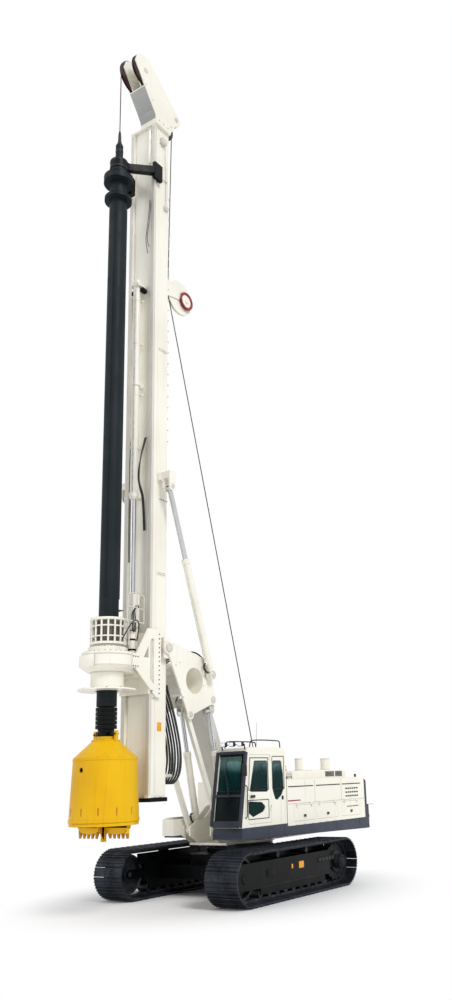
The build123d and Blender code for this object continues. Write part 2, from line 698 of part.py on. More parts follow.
# ---------------------------------------------------------------- engine house
# doors: name, back and front edge measured forward; each hangs from hinges along its top edge
LEFT_DOORS = (
    ("left_door_front", -1500, -400),
    ("left_door_middle", -2860, -1640),
    ("left_door_rear", -4250, -3120),
)
RIGHT_DOORS = (("right_door_front", -2300, -1100), ("right_door_rear", -4100, -2800))
HOOD_DOOR_LOW = 1850
HOOD_DOOR_TOP = 2280
house_depth = HOUSE_TOP - DECK_HEIGHT
house_middle = (HOUSE_FRONT + HOUSE_BACK) / 2
SILL_LAP = 10  # sill up into the wall above it

with BuildPart() as house_shell:
    with BuildSketch(level_plane(DECK_HEIGHT)):
        with Locations((house_middle, 0)):
            Rectangle(HOUSE_FRONT - HOUSE_BACK, 2 * BODY_HALF_WIDTH)
        with Locations(((HOUSE_FRONT + BAY_BACK) / 2, 0)):
            Rectangle(HOUSE_FRONT - BAY_BACK, 2 * BAY_HALF_WIDTH, mode=Mode.SUBTRACT)
    extrude(amount=house_depth)
    with BuildSketch(level_plane(DECK_HEIGHT)):
        with Locations((house_middle, 0)):
            Rectangle(HOUSE_FRONT - HOUSE_BACK - 2 * HOUSE_WALL, 2 * BODY_HALF_WIDTH - 2 * HOUSE_WALL)
        with Locations(((HOUSE_FRONT + BAY_BACK) / 2, 0)):
            bay_length = HOUSE_FRONT - BAY_BACK + 2 * HOUSE_WALL
            Rectangle(bay_length, 2 * BAY_HALF_WIDTH + 2 * HOUSE_WALL, mode=Mode.SUBTRACT)
    extrude(amount=house_depth - HOUSE_WALL, mode=Mode.SUBTRACT)
    # doorways with their gaps
    for doors, face in ((LEFT_DOORS, BODY_HALF_WIDTH), (RIGHT_DOORS, HOUSE_WALL - BODY_HALF_WIDTH)):
        with BuildSketch(side_plane(face)):
            for name, back, front in doors:
                with Locations(((back + front) / 2, (HOOD_DOOR_LOW + HOOD_DOOR_TOP) / 2)):
                    Rectangle(front - back + 2 * DOOR_GAP, HOOD_DOOR_TOP - HOOD_DOOR_LOW + 2 * DOOR_GAP)
        extrude(amount=HOUSE_WALL, mode=Mode.SUBTRACT)
    # sills that hang over the deck's sides
    for face in (BODY_HALF_WIDTH, HOUSE_WALL - BODY_HALF_WIDTH):
        with BuildSketch(side_plane(face)):
            with Locations((house_middle, (HOUSE_SILL + DECK_HEIGHT + SILL_LAP) / 2)):
                Rectangle(HOUSE_FRONT - HOUSE_BACK, DECK_HEIGHT + SILL_LAP - HOUSE_SILL)
        extrude(amount=HOUSE_WALL)
    # wall halves of the doors' hinges
    for doors, side in ((LEFT_DOORS, 1), (RIGHT_DOORS, -1)):
        for name, back, front in doors:
            for across in (back + KNUCKLE_INSET + knuckle_step, front - KNUCKLE_INSET - knuckle_step):
                place = (SLEW_X + across, side * BODY_HALF_WIDTH, HOOD_DOOR_TOP)
                extrude(hinge_half(place, side, (side, 0, 0), 1), amount=KNUCKLE_LENGTH / 2, both=True)
save(house_shell.part, "house_shell")

LATCH_RISE = 130  # latch above a door's lower edge
LATCH_STAND = 15

for doors, side, face, latch_face in (
    (LEFT_DOORS, 1, BODY_HALF_WIDTH, BODY_HALF_WIDTH + LATCH_STAND),
    (RIGHT_DOORS, -1, HOUSE_WALL - BODY_HALF_WIDTH, -BODY_HALF_WIDTH),
):
    for name, back, front in doors:
        with BuildPart() as hood_door:
            with BuildSketch(side_plane(face)):
                with Locations(((back + front) / 2, (HOOD_DOOR_LOW + HOOD_DOOR_TOP) / 2)):
                    Rectangle(front - back, HOOD_DOOR_TOP - HOOD_DOOR_LOW)
            extrude(amount=HOUSE_WALL)
            # latch
            with BuildSketch(side_plane(latch_face)):
                with Locations(((back + front) / 2, HOOD_DOOR_LOW + LATCH_RISE)):
                    RectangleRounded(130, 90, 12)
            extrude(amount=LATCH_STAND)
            for across in (back + KNUCKLE_INSET, front - KNUCKLE_INSET):
                place = (SLEW_X + across, side * BODY_HALF_WIDTH, HOOD_DOOR_TOP)
                extrude(hinge_half(place, side, (side, 0, 0), -1), amount=KNUCKLE_LENGTH / 2, both=True)
        save(hood_door.part, name)

ROOF_BOX_TOP = 3240
ROOF_BOX_BACK = -4350
ROOF_BOX_FRONT = -1150
ROOF_BOX_RIGHT = -300
ROOF_BOX_LEFT = 1100
with BuildPart() as roof_box:
    with BuildSketch(level_plane(HOUSE_TOP)):
        # back part over the whole roof, front part over the left half beside the bay
        with Locations(((ROOF_BOX_BACK + BAY_BACK) / 2, (ROOF_BOX_LEFT + ROOF_BOX_RIGHT) / 2)):
            Rectangle(BAY_BACK - ROOF_BOX_BACK, ROOF_BOX_LEFT - ROOF_BOX_RIGHT)
        front_y = (ROOF_BOX_LEFT + BAY_HALF_WIDTH + HOUSE_WALL) / 2
        with Locations(((ROOF_BOX_BACK + ROOF_BOX_FRONT) / 2, front_y)):
            Rectangle(ROOF_BOX_FRONT - ROOF_BOX_BACK, ROOF_BOX_LEFT - BAY_HALF_WIDTH - HOUSE_WALL)
    extrude(amount=ROOF_BOX_TOP - HOUSE_TOP)
    chamfer(roof_box.faces().sort_by(Axis.Z)[-1].edges(), 50)
save(roof_box.part, "roof_box")

STACK_TOP = 3610
STACK_WALL = 8
STACKS = ((-1920, 120), (-3480, 150))  # place measured forward, radius
STACK_Y = 850
with BuildPart() as exhaust_stacks:
    for across, radius in STACKS:
        with BuildSketch(level_plane(ROOF_BOX_TOP, across, STACK_Y)):
            Circle(radius)
            Circle(radius - STACK_WALL, mode=Mode.SUBTRACT)
        extrude(amount=STACK_TOP - ROOF_BOX_TOP)
save(exhaust_stacks.part, "exhaust_stacks")

with BuildPart() as engine_block:
    with BuildSketch(level_plane(DECK_HEIGHT, -3500, 0)):
        Rectangle(1500, 900)
    extrude(amount=950)
save(engine_block.part, "engine_block")

# front right platform: a tool box on the deck with a step box in front of it
TOOL_BOX_BACK = 250
TOOL_BOX_HEIGHT = 230
BOX_LAP = 30  # tool box over the step box
STEP_BOX_FRONT = 2200
STEP_BOX_OUTER = 1030
STEP_BOX_BOTTOM = 1620
BOX_INSET = 40  # tool box from the deck's outer edge
step_back = RIGHT_FRONT + RUN_GAP
web_clear = WEB_OUTER + RUN_GAP

with BuildPart() as right_platform:
    with BuildSketch(level_plane(DECK_HEIGHT)):
        box_y = (BOX_INSET - web_clear - BODY_HALF_WIDTH) / 2
        with Locations(((TOOL_BOX_BACK + step_back + BOX_LAP) / 2, box_y)):
            Rectangle(step_back + BOX_LAP - TOOL_BOX_BACK, BODY_HALF_WIDTH - BOX_INSET - web_clear)
    extrude(amount=TOOL_BOX_HEIGHT)
    with BuildSketch(level_plane(STEP_BOX_BOTTOM)):
        with Locations(((STEP_BOX_FRONT + step_back) / 2, -(web_clear + STEP_BOX_OUTER) / 2)):
            Rectangle(STEP_BOX_FRONT - step_back, STEP_BOX_OUTER - web_clear)
    extrude(amount=DECK_HEIGHT + TOOL_BOX_HEIGHT - STEP_BOX_BOTTOM)
save(right_platform.part, "right_platform")

# ---------------------------------------------------------------- winch
WINCH = (-1450, 2700)
DRUM_RADIUS = 240
DRUM_HALF = 300
DRUM_FLANGE = 460
WOUND_RADIUS = 355  # rope line over the layers on the drum
FLANGE_THICK = 30
WINCH_SHAFT = 70
WINCH_PLATE = 40
WINCH_FOOT = 520
winch_inner = DRUM_HALF + FLANGE_THICK + RUN_GAP

with BuildPart() as winch_frame:
    for face in (winch_inner + WINCH_PLATE, -winch_inner):
        with BuildSketch(side_plane(face)):
            with BuildLine():
                Polyline(
                    (WINCH[0] - WINCH_FOOT, DECK_HEIGHT), (WINCH[0] - 160, WINCH[1] + 160),
                    (WINCH[0] + 160, WINCH[1] + 160), (WINCH[0] + WINCH_FOOT, DECK_HEIGHT), close=True,
                )
            make_face()
            with Locations(WINCH):
                Circle(WINCH_SHAFT + PIN_GAP, mode=Mode.SUBTRACT)
        extrude(amount=WINCH_PLATE)
    # beams from web to web that carry the two plates
    for beam in (WINCH[0] - WINCH_FOOT + 50, WINCH[0] + WINCH_FOOT - 50):
        with BuildSketch(level_plane(DECK_HEIGHT - 60)):
            with Locations((beam, 0)):
                Rectangle(100, 2 * WEB_INNER)
        extrude(amount=100)
save(winch_frame.part, "winch_frame")

with BuildPart() as winch_drum:
    middle = side_plane(0)
    for radius, half in (
        (DRUM_RADIUS, DRUM_HALF),
        (WINCH_SHAFT, winch_inner + WINCH_PLATE),
    ):
        with BuildSketch(middle):
            with Locations(WINCH):
                Circle(radius)
        extrude(amount=half, both=True)
    for face in (DRUM_HALF + FLANGE_THICK, -DRUM_HALF):
        with BuildSketch(side_plane(face)):
            with Locations(WINCH):
                Circle(DRUM_FLANGE)
        extrude(amount=FLANGE_THICK)
save(winch_drum.part, "winch_drum")

# ================================================================ boom and parallel linkage
BOOM_HALF_WIDTH = 330
BOOM_END = 200
BOOM_WALL = 25
CROSSHEAD_RADIUS = 120
CROSSHEAD_HALF = 600
LIFT_Y = 505
LIFT_EYE_WIDTH = 126
LIFT_EYE = 90
LUG_THICK = 30
CROSS_PIN = 70
INSPECTION_RADIUS = 60
lug_inner = LIFT_Y - LIFT_EYE_WIDTH / 2 - RUN_GAP
lug_outer = LIFT_Y + LIFT_EYE_WIDTH / 2 + RUN_GAP
boom_length = between(BOOM_FOOT, BOOM_HEAD)
boom_lean = degrees(atan2(BOOM_HEAD[1] - BOOM_FOOT[1], BOOM_HEAD[0] - BOOM_FOOT[0]))
boom_middle = toward(BOOM_FOOT, BOOM_HEAD, boom_length / 2)

with BuildPart() as boom:
    with BuildSketch(side_plane(BOOM_HALF_WIDTH)):
        with Locations(Location(boom_middle, boom_lean)):
            SlotCenterToCenter(boom_length, 2 * BOOM_END)
    extrude(amount=2 * BOOM_HALF_WIDTH)
    # hollow between the two end tubes
    with BuildSketch(side_plane(BOOM_HALF_WIDTH - BOOM_WALL)):
        with Locations(Location(boom_middle, boom_lean)):
            Rectangle(boom_length - 2 * BOOM_END, 2 * (BOOM_END - BOOM_WALL))
    extrude(amount=2 * (BOOM_HALF_WIDTH - BOOM_WALL), mode=Mode.SUBTRACT)
    # crosshead, its bores for the tilt frame's pins and the lugs of the boom cylinders
    with BuildSketch(side_plane(CROSSHEAD_HALF)):
        with Locations(BOOM_HEAD):
            Circle(CROSSHEAD_RADIUS)
    extrude(amount=2 * CROSSHEAD_HALF)
    for face in (lug_inner, lug_outer + LUG_THICK):
        with BuildSketch(side_plane(face)):
            with BuildLine():
                Polyline(
                    (LIFT_HEAD[0] - 95, LIFT_HEAD[1]), (BOOM_HEAD[0] - 100, BOOM_HEAD[1]),
                    (BOOM_HEAD[0] + 100, BOOM_HEAD[1]), (LIFT_HEAD[0] + 95, LIFT_HEAD[1]), close=True,
                )
            make_face()
            with Locations(LIFT_HEAD):
                Circle(95)
        extrude(amount=LUG_THICK)
    mirror(about=Plane.XZ)
    # pin bores, and an inspection opening into the hollow
    for place, radius in (
        (BOOM_FOOT, BOOM_PIN + PIN_GAP),
        (BOOM_HEAD, CROSS_PIN + PIN_GAP),
        (boom_middle, INSPECTION_RADIUS),
    ):
        with BuildSketch(side_plane(0)):
            with Locations(place):
                Circle(radius)
        extrude(amount=lug_outer + LUG_THICK, both=True, mode=Mode.SUBTRACT)
save(boom.part, "boom")

LINK_Y = 520
LINK_WIDTH = 100
LINK_DEPTH = 130
LINK_EYE = 110
link_length = between(LINK_FOOT, LINK_HEAD)
link_lean = degrees(atan2(LINK_HEAD[1] - LINK_FOOT[1], LINK_HEAD[0] - LINK_FOOT[0]))
link_middle = toward(LINK_FOOT, LINK_HEAD, link_length / 2)

with BuildPart() as support_links:
    with BuildSketch(side_plane(LINK_Y + LINK_WIDTH / 2)):
        with Locations(Location(link_middle, link_lean)):
            Rectangle(link_length, LINK_DEPTH)
        with Locations(LINK_FOOT, LINK_HEAD):
            Circle(LINK_EYE)
        with Locations(LINK_FOOT, LINK_HEAD):
            Circle(LINK_PIN + PIN_GAP, mode=Mode.SUBTRACT)
    extrude(amount=LINK_WIDTH)
    mirror(about=Plane.XZ)
save(support_links.part, "support_links")

# tilt frame: two plates, a cross tube, lugs for the links and the pins of boom and mast
PLATE_INNER = 610
PLATE_OUTER = 660
TUBE_PLACE = (2840, 5660)
TUBE_RADIUS = 375
TUBE_WALL = 25
MAST_PIN = 80
TILT_PIN = 55
TILT_Y = 780
TILT_EYE_WIDTH = 160
HEAD_LUG_INNER = 410
HEAD_LUG_THICK = 40
frame_outline = [
    (3880, 6300), (3660, 6590), (2370, 6280), (2060, 5900), (1930, 5180), (2080, 5080), (3080, 4690),
]
tilt_pin_end = TILT_Y + TILT_EYE_WIDTH / 2 + RUN_GAP

with BuildPart() as tilt_frame:
    with BuildSketch(side_plane(PLATE_OUTER)):
        with BuildLine():
            Polyline(*frame_outline, close=True)
        make_face()
        with Locations(MAST_PIVOT):
            Circle(170)
        with Locations(LINK_HEAD):
            Circle(130)
        with Locations(BOOM_HEAD):
            Circle(150)
        with Locations(TUBE_PLACE):
            Circle(TUBE_RADIUS - TUBE_WALL, mode=Mode.SUBTRACT)
    extrude(amount=PLATE_OUTER - PLATE_INNER)
    with BuildSketch(side_plane(PLATE_INNER)):
        with Locations(TUBE_PLACE):
            Circle(TUBE_RADIUS)
            Circle(TUBE_RADIUS - TUBE_WALL, mode=Mode.SUBTRACT)
    extrude(amount=PLATE_INNER)
    # lug that carries the inner end of the link's pin
    with BuildSketch(side_plane(HEAD_LUG_INNER + HEAD_LUG_THICK)):
        with BuildLine():
            Polyline(
                (LINK_HEAD[0] - 110, LINK_HEAD[1]), (TUBE_PLACE[0] - 150, TUBE_PLACE[1] - TUBE_RADIUS + 60),
                (TUBE_PLACE[0] + 200, TUBE_PLACE[1] - TUBE_RADIUS + 80), (LINK_HEAD[0] + 110, LINK_HEAD[1]),
                close=True,
            )
        make_face()
        with Locations(LINK_HEAD):
            Circle(110)
        with Locations(TUBE_PLACE):
            Circle(TUBE_RADIUS - TUBE_WALL, mode=Mode.SUBTRACT)
    extrude(amount=HEAD_LUG_THICK)
    # pins: place, radius, outer and inner end
    for place, radius, outer, inner in (
        (LINK_HEAD, LINK_PIN, PLATE_OUTER, HEAD_LUG_INNER),
        (BOOM_HEAD, CROSS_PIN, PLATE_OUTER, CROSSHEAD_HALF - 250),
        (MAST_PIVOT, MAST_PIN, PLATE_OUTER + 20, MAST_HALF_WIDTH + 30),
        (TILT_FOOT, TILT_PIN, tilt_pin_end, PLATE_INNER),
        (TILT_FOOT, TILT_PIN + 40, tilt_pin_end + 20, tilt_pin_end),
    ):
        with BuildSketch(side_plane(outer)):
            with Locations(place):
                Circle(radius)
        extrude(amount=outer - inner)
    mirror(about=Plane.XZ)
save(tilt_frame.part, "tilt_frame")

# cylinders in pairs: name, foot, head, width place, barrel length and radius, rod radius, eye width,
# radius of the foot's eye and pin, radius of the head's eye
GLAND_LENGTH = 150
ROD_START = 560
CYLINDERS = (
    ("boom_cylinder", LIFT_FOOT, LIFT_HEAD, LIFT_Y, 2030, 100, 60, LIFT_EYE_WIDTH, 120, LIFT_PIN, LIFT_EYE),
    ("mast_cylinder", TILT_FOOT, TILT_HEAD, TILT_Y, 3270, 105, 70, TILT_EYE_WIDTH, 130, TILT_PIN, 95),
)
for name, foot, head, width_place, barrel, radius, rod, eye_width, foot_eye, pin, head_eye in CYLINDERS:
    with BuildPart() as barrels:
        with BuildSketch(aim_plane(toward(foot, head, foot_eye - 20), head, width_place)):
            Circle(radius)
        extrude(amount=barrel - foot_eye + 20)
        with BuildSketch(side_plane(width_place + eye_width / 2)):
            with Locations(foot):
                Circle(foot_eye)
        extrude(amount=eye_width)
        with BuildSketch(aim_plane(toward(foot, head, foot_eye + 30), head, width_place)):
            Circle(radius - 20)
        extrude(amount=barrel - foot_eye - 30 - GLAND_LENGTH, mode=Mode.SUBTRACT)
        with BuildSketch(aim_plane(toward(foot, head, foot_eye + 30), head, width_place)):
            Circle(rod + PIN_GAP)
        extrude(amount=barrel, mode=Mode.SUBTRACT)
        with BuildSketch(side_plane(width_place)):
            with Locations(foot):
                Circle(pin + PIN_GAP)
        extrude(amount=max(radius, eye_width / 2), both=True, mode=Mode.SUBTRACT)
        mirror(about=Plane.XZ)
    save(barrels.part, f"{name}_barrels")
    with BuildPart() as rods:
        with BuildSketch(aim_plane(toward(foot, head, ROD_START), head, width_place)):
            Circle(rod)
        extrude(amount=between(foot, head) - ROD_START)
        with BuildSketch(side_plane(width_place + eye_width / 2)):
            with Locations(head):
                Circle(head_eye)
        extrude(amount=eye_width)
        mirror(about=Plane.XZ)
    save(rods.part, f"{name}_rods")

# ================================================================ mast
PIVOT_LUG = 140
TILT_LUG = 130
TILT_LUG_THICK = 45
FOOT_OVERHANG = 15
FOOT_SETBACK = 30  # front edge behind the rail faces, clear of the open bucket gate
HEAD_PLATE = 60
rail_back = MAST_FRONT
rail_front = MAST_FRONT + RAIL_DEPTH
tilt_lug_inner = TILT_Y - TILT_EYE_WIDTH / 2 - RUN_GAP
tilt_lug_outer = TILT_Y + TILT_EYE_WIDTH / 2 + RUN_GAP + TILT_LUG_THICK

with BuildPart() as mast_column:
    with BuildSketch(level_plane(MAST_BOTTOM, (MAST_BACK + MAST_FRONT) / 2)):
        Rectangle(MAST_FRONT - MAST_BACK, 2 * MAST_HALF_WIDTH)
        inner_width = 2 * (MAST_HALF_WIDTH - MAST_WALL)
        Rectangle(MAST_FRONT - MAST_BACK - 2 * MAST_WALL, inner_width, mode=Mode.SUBTRACT)
    extrude(amount=MAST_TOP - MAST_BOTTOM)
    # pivot lugs
    with BuildSketch(side_plane(PLATE_INNER - RUN_GAP)):
        with Locations(MAST_PIVOT):
            Circle(PIVOT_LUG)
        with Locations((MAST_PIVOT[0] + 10, MAST_PIVOT[1])):
            Rectangle(2 * PIVOT_LUG - 40, 2 * PIVOT_LUG + 260)
    extrude(amount=PLATE_INNER - RUN_GAP - MAST_HALF_WIDTH)
    with BuildSketch(side_plane(PLATE_INNER)):
        with Locations(MAST_PIVOT):
            Circle(MAST_PIN + PIN_GAP)
    extrude(amount=PLATE_INNER - MAST_HALF_WIDTH - 20, mode=Mode.SUBTRACT)
    # brackets over the mast cylinders
    for outer, inner in (
        (tilt_lug_inner, tilt_lug_inner - TILT_LUG_THICK),
        (tilt_lug_outer, tilt_lug_outer - TILT_LUG_THICK),
    ):
        with BuildSketch(side_plane(outer)):
            with BuildLine():
                Polyline(
                    (TILT_HEAD[0] - TILT_LUG, TILT_HEAD[1]), (TILT_HEAD[0] - TILT_LUG, TILT_HEAD[1] + 420),
                    (TILT_HEAD[0] + TILT_LUG, TILT_HEAD[1] + 420), (TILT_HEAD[0] + TILT_LUG, TILT_HEAD[1]),
                    close=True,
                )
            make_face()
            with Locations(TILT_HEAD):
                Circle(TILT_LUG)
        extrude(amount=outer - inner)
    with BuildSketch(side_plane(tilt_lug_outer)):
        with Locations((TILT_HEAD[0], TILT_HEAD[1] + 320)):
            Rectangle(2 * TILT_LUG, 200)
    extrude(amount=tilt_lug_outer - MAST_HALF_WIDTH)
    mirror(about=Plane.XZ)
save(mast_column.part, "mast_column")

with BuildPart() as guide_rails:
    with BuildSketch(level_plane(MAST_BOTTOM, MAST_FRONT + RAIL_DEPTH / 2, (RAIL_INNER + RAIL_OUTER) / 2)):
        Rectangle(RAIL_DEPTH, RAIL_OUTER - RAIL_INNER)
    extrude(amount=MAST_TOP - MAST_BOTTOM)
    mirror(about=Plane.XZ)
save(guide_rails.part, "guide_rails")

FOOT_THICK = 100
foot_back = MAST_BACK - FOOT_OVERHANG
foot_front = rail_front - FOOT_SETBACK

with BuildPart() as mast_foot:
    with BuildSketch(level_plane(MAST_BOTTOM - FOOT_THICK, (foot_back + foot_front) / 2)):
        Rectangle(foot_front - foot_back, 2 * RAIL_OUTER + 2 * FOOT_OVERHANG)
    extrude(amount=FOOT_THICK)
save(mast_foot.part, "mast_foot")

# crowd cylinder on the mast's front: barrel held by brackets, its rod belongs to the carriage
CROWD_X = 4590
CROWD_RADIUS = 105
CROWD_ROD = 70
CROWD_LOW = 10500
CROWD_HIGH = 17250
CARRIAGE_TOWER = 7850

with BuildPart() as crowd_cylinder:
    with BuildSketch(level_plane(CROWD_LOW, CROWD_X)):
        Circle(CROWD_RADIUS)
        Circle(CROWD_ROD + PIN_GAP, mode=Mode.SUBTRACT)
    extrude(amount=CROWD_HIGH - CROWD_LOW)
    with BuildSketch(level_plane(CROWD_LOW + GLAND_LENGTH, CROWD_X)):
        Circle(CROWD_RADIUS - 18)
    extrude(amount=CROWD_HIGH - CROWD_LOW - GLAND_LENGTH - 150, mode=Mode.SUBTRACT)
    with BuildSketch(level_plane(CROWD_HIGH - 50, CROWD_X)):
        Circle(CROWD_RADIUS)
    extrude(amount=50)
    for height in (CROWD_LOW + 60, (CROWD_LOW + CROWD_HIGH) / 2, CROWD_HIGH - 200):
        with BuildSketch(level_plane(height, (MAST_FRONT + CROWD_X) / 2)):
            Rectangle(CROWD_X - MAST_FRONT, 150)
        with BuildSketch(level_plane(height, CROWD_X)):
            Circle(CROWD_RADIUS + 25)
        extrude(amount=120)
        with BuildSketch(level_plane(height, CROWD_X)):
            Circle(CROWD_ROD + PIN_GAP if height < CROWD_LOW + 100 else CROWD_RADIUS - 18)
        extrude(amount=120, mode=Mode.SUBTRACT)
save(crowd_cylinder.part, "crowd_cylinder")

# ---------------------------------------------------------------- mast head, sheaves and hoist rope
# sheaves: name, place, width place, rope line radius
MAIN_SHEAVE = (4930, 24240)
MAIN_LINE = KELLY_REACH - MAIN_SHEAVE[0]
AUX_SHEAVE = MAIN_SHEAVE
AUX_LINE = 470
AUX_Y = 470
BACK_SHEAVE = (3510, 23450)
BACK_LINE = 400
LOW_PULLEY = (2720, 17620)
LOW_LINE = 530
SHEAVE_HALF = 42
SHEAVE_LIP = 22
GROOVE_HALF = ROPE_RADIUS + RUN_GAP
SHEAVE_PIN = 60
HEAD_PLATE_THICK = 30
head_gap = SHEAVE_HALF + RUN_GAP + 3
# inner faces of the four head plates, low side first
head_plates = (
    -head_gap - HEAD_PLATE_THICK, head_gap,
    AUX_Y - head_gap - HEAD_PLATE_THICK, AUX_Y + head_gap,
)
head_left = head_plates[3] + HEAD_PLATE_THICK
SHEAVES = (
    ("head_sheave_main", MAIN_SHEAVE, 0, MAIN_LINE),
    ("head_sheave_aux", AUX_SHEAVE, AUX_Y, AUX_LINE),
    ("head_sheave_back", BACK_SHEAVE, 0, BACK_LINE),
    ("mast_pulley", LOW_PULLEY, 0, LOW_LINE),
)
# underside of the head's side plates, from the mast's front up to the nose
HEAD_FOOT = (4480, 22980)
HEAD_BREAST = (5030, 23760)
HEAD_NOSE = (5400, 24285)
UNDERSIDE_THICK = 25
CAP_OVERHANG = 10
head_outline = [
    (MAST_BACK, MAST_TOP + HEAD_PLATE - 10), (rail_front, MAST_TOP + HEAD_PLATE - 10),
    HEAD_FOOT, HEAD_BREAST,
    HEAD_NOSE, (5310, 24560), (5060, 24745), (4800, 24745), (3500, 23700), (3330, 23560), (3330, 23350),
    (3560, 23150),
]
underside_end = toward(HEAD_BREAST, HEAD_FOOT, 90)
underside_lean = atan2(HEAD_BREAST[1] - HEAD_FOOT[1], HEAD_BREAST[0] - HEAD_FOOT[0])
underside_in = (-UNDERSIDE_THICK * sin(underside_lean), UNDERSIDE_THICK * cos(underside_lean))


def inward(point):
    """Point moved from the underside into the head by the plate's thickness."""
    return (point[0] + underside_in[0], point[1] + underside_in[1])


with BuildPart() as mast_head:
    with BuildSketch(level_plane(MAST_TOP, (MAST_BACK + rail_front) / 2)):
        Rectangle(rail_front - MAST_BACK + 2 * CAP_OVERHANG, 2 * RAIL_OUTER + 2 * CAP_OVERHANG)
        with Locations((0, head_left / 2)):
            Rectangle(rail_front - MAST_BACK + 2 * CAP_OVERHANG, head_left)
    extrude(amount=HEAD_PLATE)
    for low_side in head_plates:
        with BuildSketch(side_plane(low_side + HEAD_PLATE_THICK)):
            with BuildLine():
                Polyline(*head_outline, close=True)
            make_face()
        extrude(amount=HEAD_PLATE_THICK)
    # plate that closes the underside over the whole width, as far as the sheaves
    with BuildSketch(side_plane(head_left)):
        with BuildLine():
            Polyline(
                (rail_front, MAST_TOP + HEAD_PLATE - 10), HEAD_FOOT, underside_end, inward(underside_end),
                inward(HEAD_FOOT), (rail_front - 2 * UNDERSIDE_THICK, MAST_TOP + HEAD_PLATE - 10),
                close=True,
            )
        make_face()
    extrude(amount=head_left - head_plates[0])
    # plate that closes the top between the two pairs of side plates
    with BuildSketch(side_plane(head_plates[2] + HEAD_PLATE_THICK)):
        with BuildLine():
            Polyline(
                (3560, 23150), (3330, 23350), (3330, 23560), (3500, 23700), (4800, 24745), (4830, 24712),
                (3530, 23660), (3370, 23535), (3370, 23370), (3590, 23180), close=True,
            )
        make_face()
    extrude(amount=head_plates[2] + HEAD_PLATE_THICK - head_plates[1])
    # axles of the sheaves
    for place, low_side, high_side in (
        (MAIN_SHEAVE, head_plates[0], head_plates[1] + HEAD_PLATE_THICK),
        (BACK_SHEAVE, head_plates[0], head_plates[1] + HEAD_PLATE_THICK),
        (AUX_SHEAVE, head_plates[2], head_left),
    ):
        with BuildSketch(side_plane(high_side)):
            with Locations(place):
                Circle(SHEAVE_PIN)
        extrude(amount=high_side - low_side)
save(mast_head.part, "mast_head")

for name, place, y, line in SHEAVES:
    with BuildPart() as sheave:
        with BuildSketch(side_plane(y)):
            with Locations(place):
                Circle(line - ROPE_RADIUS - 2)
        extrude(amount=SHEAVE_HALF, both=True)
        for face in (SHEAVE_HALF, -GROOVE_HALF):
            with BuildSketch(side_plane(y + face)):
                with Locations(place):
                    Circle(line + SHEAVE_LIP)
            extrude(amount=SHEAVE_HALF - GROOVE_HALF)
        with BuildSketch(side_plane(y)):
            with Locations(place):
                Circle(SHEAVE_PIN + PIN_GAP)
        extrude(amount=SHEAVE_HALF, both=True, mode=Mode.SUBTRACT)
    save(sheave.part, name)

# bracket on the mast's back that holds the low pulley
with BuildPart() as pulley_bracket:
    for face in (head_gap + 25, -head_gap):
        with BuildSketch(side_plane(face)):
            with BuildLine():
                Polyline(
                    (MAST_BACK, LOW_PULLEY[1] + 500), (LOW_PULLEY[0] + 430, LOW_PULLEY[1] + 310),
                    (LOW_PULLEY[0] - 190, LOW_PULLEY[1] + 310), (LOW_PULLEY[0] - 290, LOW_PULLEY[1] + 120),
                    (LOW_PULLEY[0] - 100, LOW_PULLEY[1] - 70), (LOW_PULLEY[0] + 570, LOW_PULLEY[1] - 200),
                    (MAST_BACK, LOW_PULLEY[1] - 320), close=True,
                )
            make_face()
        extrude(amount=25)
    with BuildSketch(side_plane(head_gap + 25)):
        with Locations(LOW_PULLEY):
            Circle(SHEAVE_PIN)
    extrude(amount=2 * head_gap + 50)
    with BuildSketch(side_plane(head_gap + 25)):
        with Locations((MAST_BACK - 40, LOW_PULLEY[1] + 90)):
            Rectangle(80, 700)
    extrude(amount=2 * head_gap + 50)
save(pulley_bracket.part, "pulley_bracket")

# hoist rope on the mast: up from the low pulley, over both head sheaves and down into the kelly
ROPE_END = 5800
over_run = between(BACK_SHEAVE, MAIN_SHEAVE)
over_centre = atan2(MAIN_SHEAVE[1] - BACK_SHEAVE[1], MAIN_SHEAVE[0] - BACK_SHEAVE[0])
over_angle = over_centre + atan2(MAIN_LINE - BACK_LINE, over_run)


def on_sheave(centre, radius, direction):
    """Point on a sheave's rope line in a direction given in radians."""
    return (centre[0] + radius * cos(direction), centre[1] + radius * sin(direction))


# the rope crosses from the pulley's front to the back sheave's rear
up_centre = atan2(BACK_SHEAVE[1] - LOW_PULLEY[1], BACK_SHEAVE[0] - LOW_PULLEY[0])
up_angle = up_centre + asin((BACK_LINE + LOW_LINE) / between(LOW_PULLEY, BACK_SHEAVE))
up_low = on_sheave(LOW_PULLEY, LOW_LINE, up_angle - pi / 2)
up_high = on_sheave(BACK_SHEAVE, BACK_LINE, up_angle + pi / 2)
over_direction = over_angle + pi / 2
back_leave = on_sheave(BACK_SHEAVE, BACK_LINE, over_direction)
main_meet = on_sheave(MAIN_SHEAVE, MAIN_LINE, over_direction)

with BuildPart() as hoist_rope:
    with BuildLine(side_plane(0)):
        Line(up_low, up_high)
        back_middle = (up_angle + pi / 2 + over_direction) / 2
        ThreePointArc(up_high, on_sheave(BACK_SHEAVE, BACK_LINE, back_middle), back_leave)
        Line(back_leave, main_meet)
        main_arc = ThreePointArc(
            main_meet, on_sheave(MAIN_SHEAVE, MAIN_LINE, over_direction / 2),
            on_sheave(MAIN_SHEAVE, MAIN_LINE, 0),
        )
        Line(main_arc @ 1, (KELLY_REACH, ROPE_END))
    with BuildSketch(aim_plane(up_low, up_high, 0)):
        Circle(ROPE_RADIUS)
    sweep()
save(hoist_rope.part, "hoist_rope")

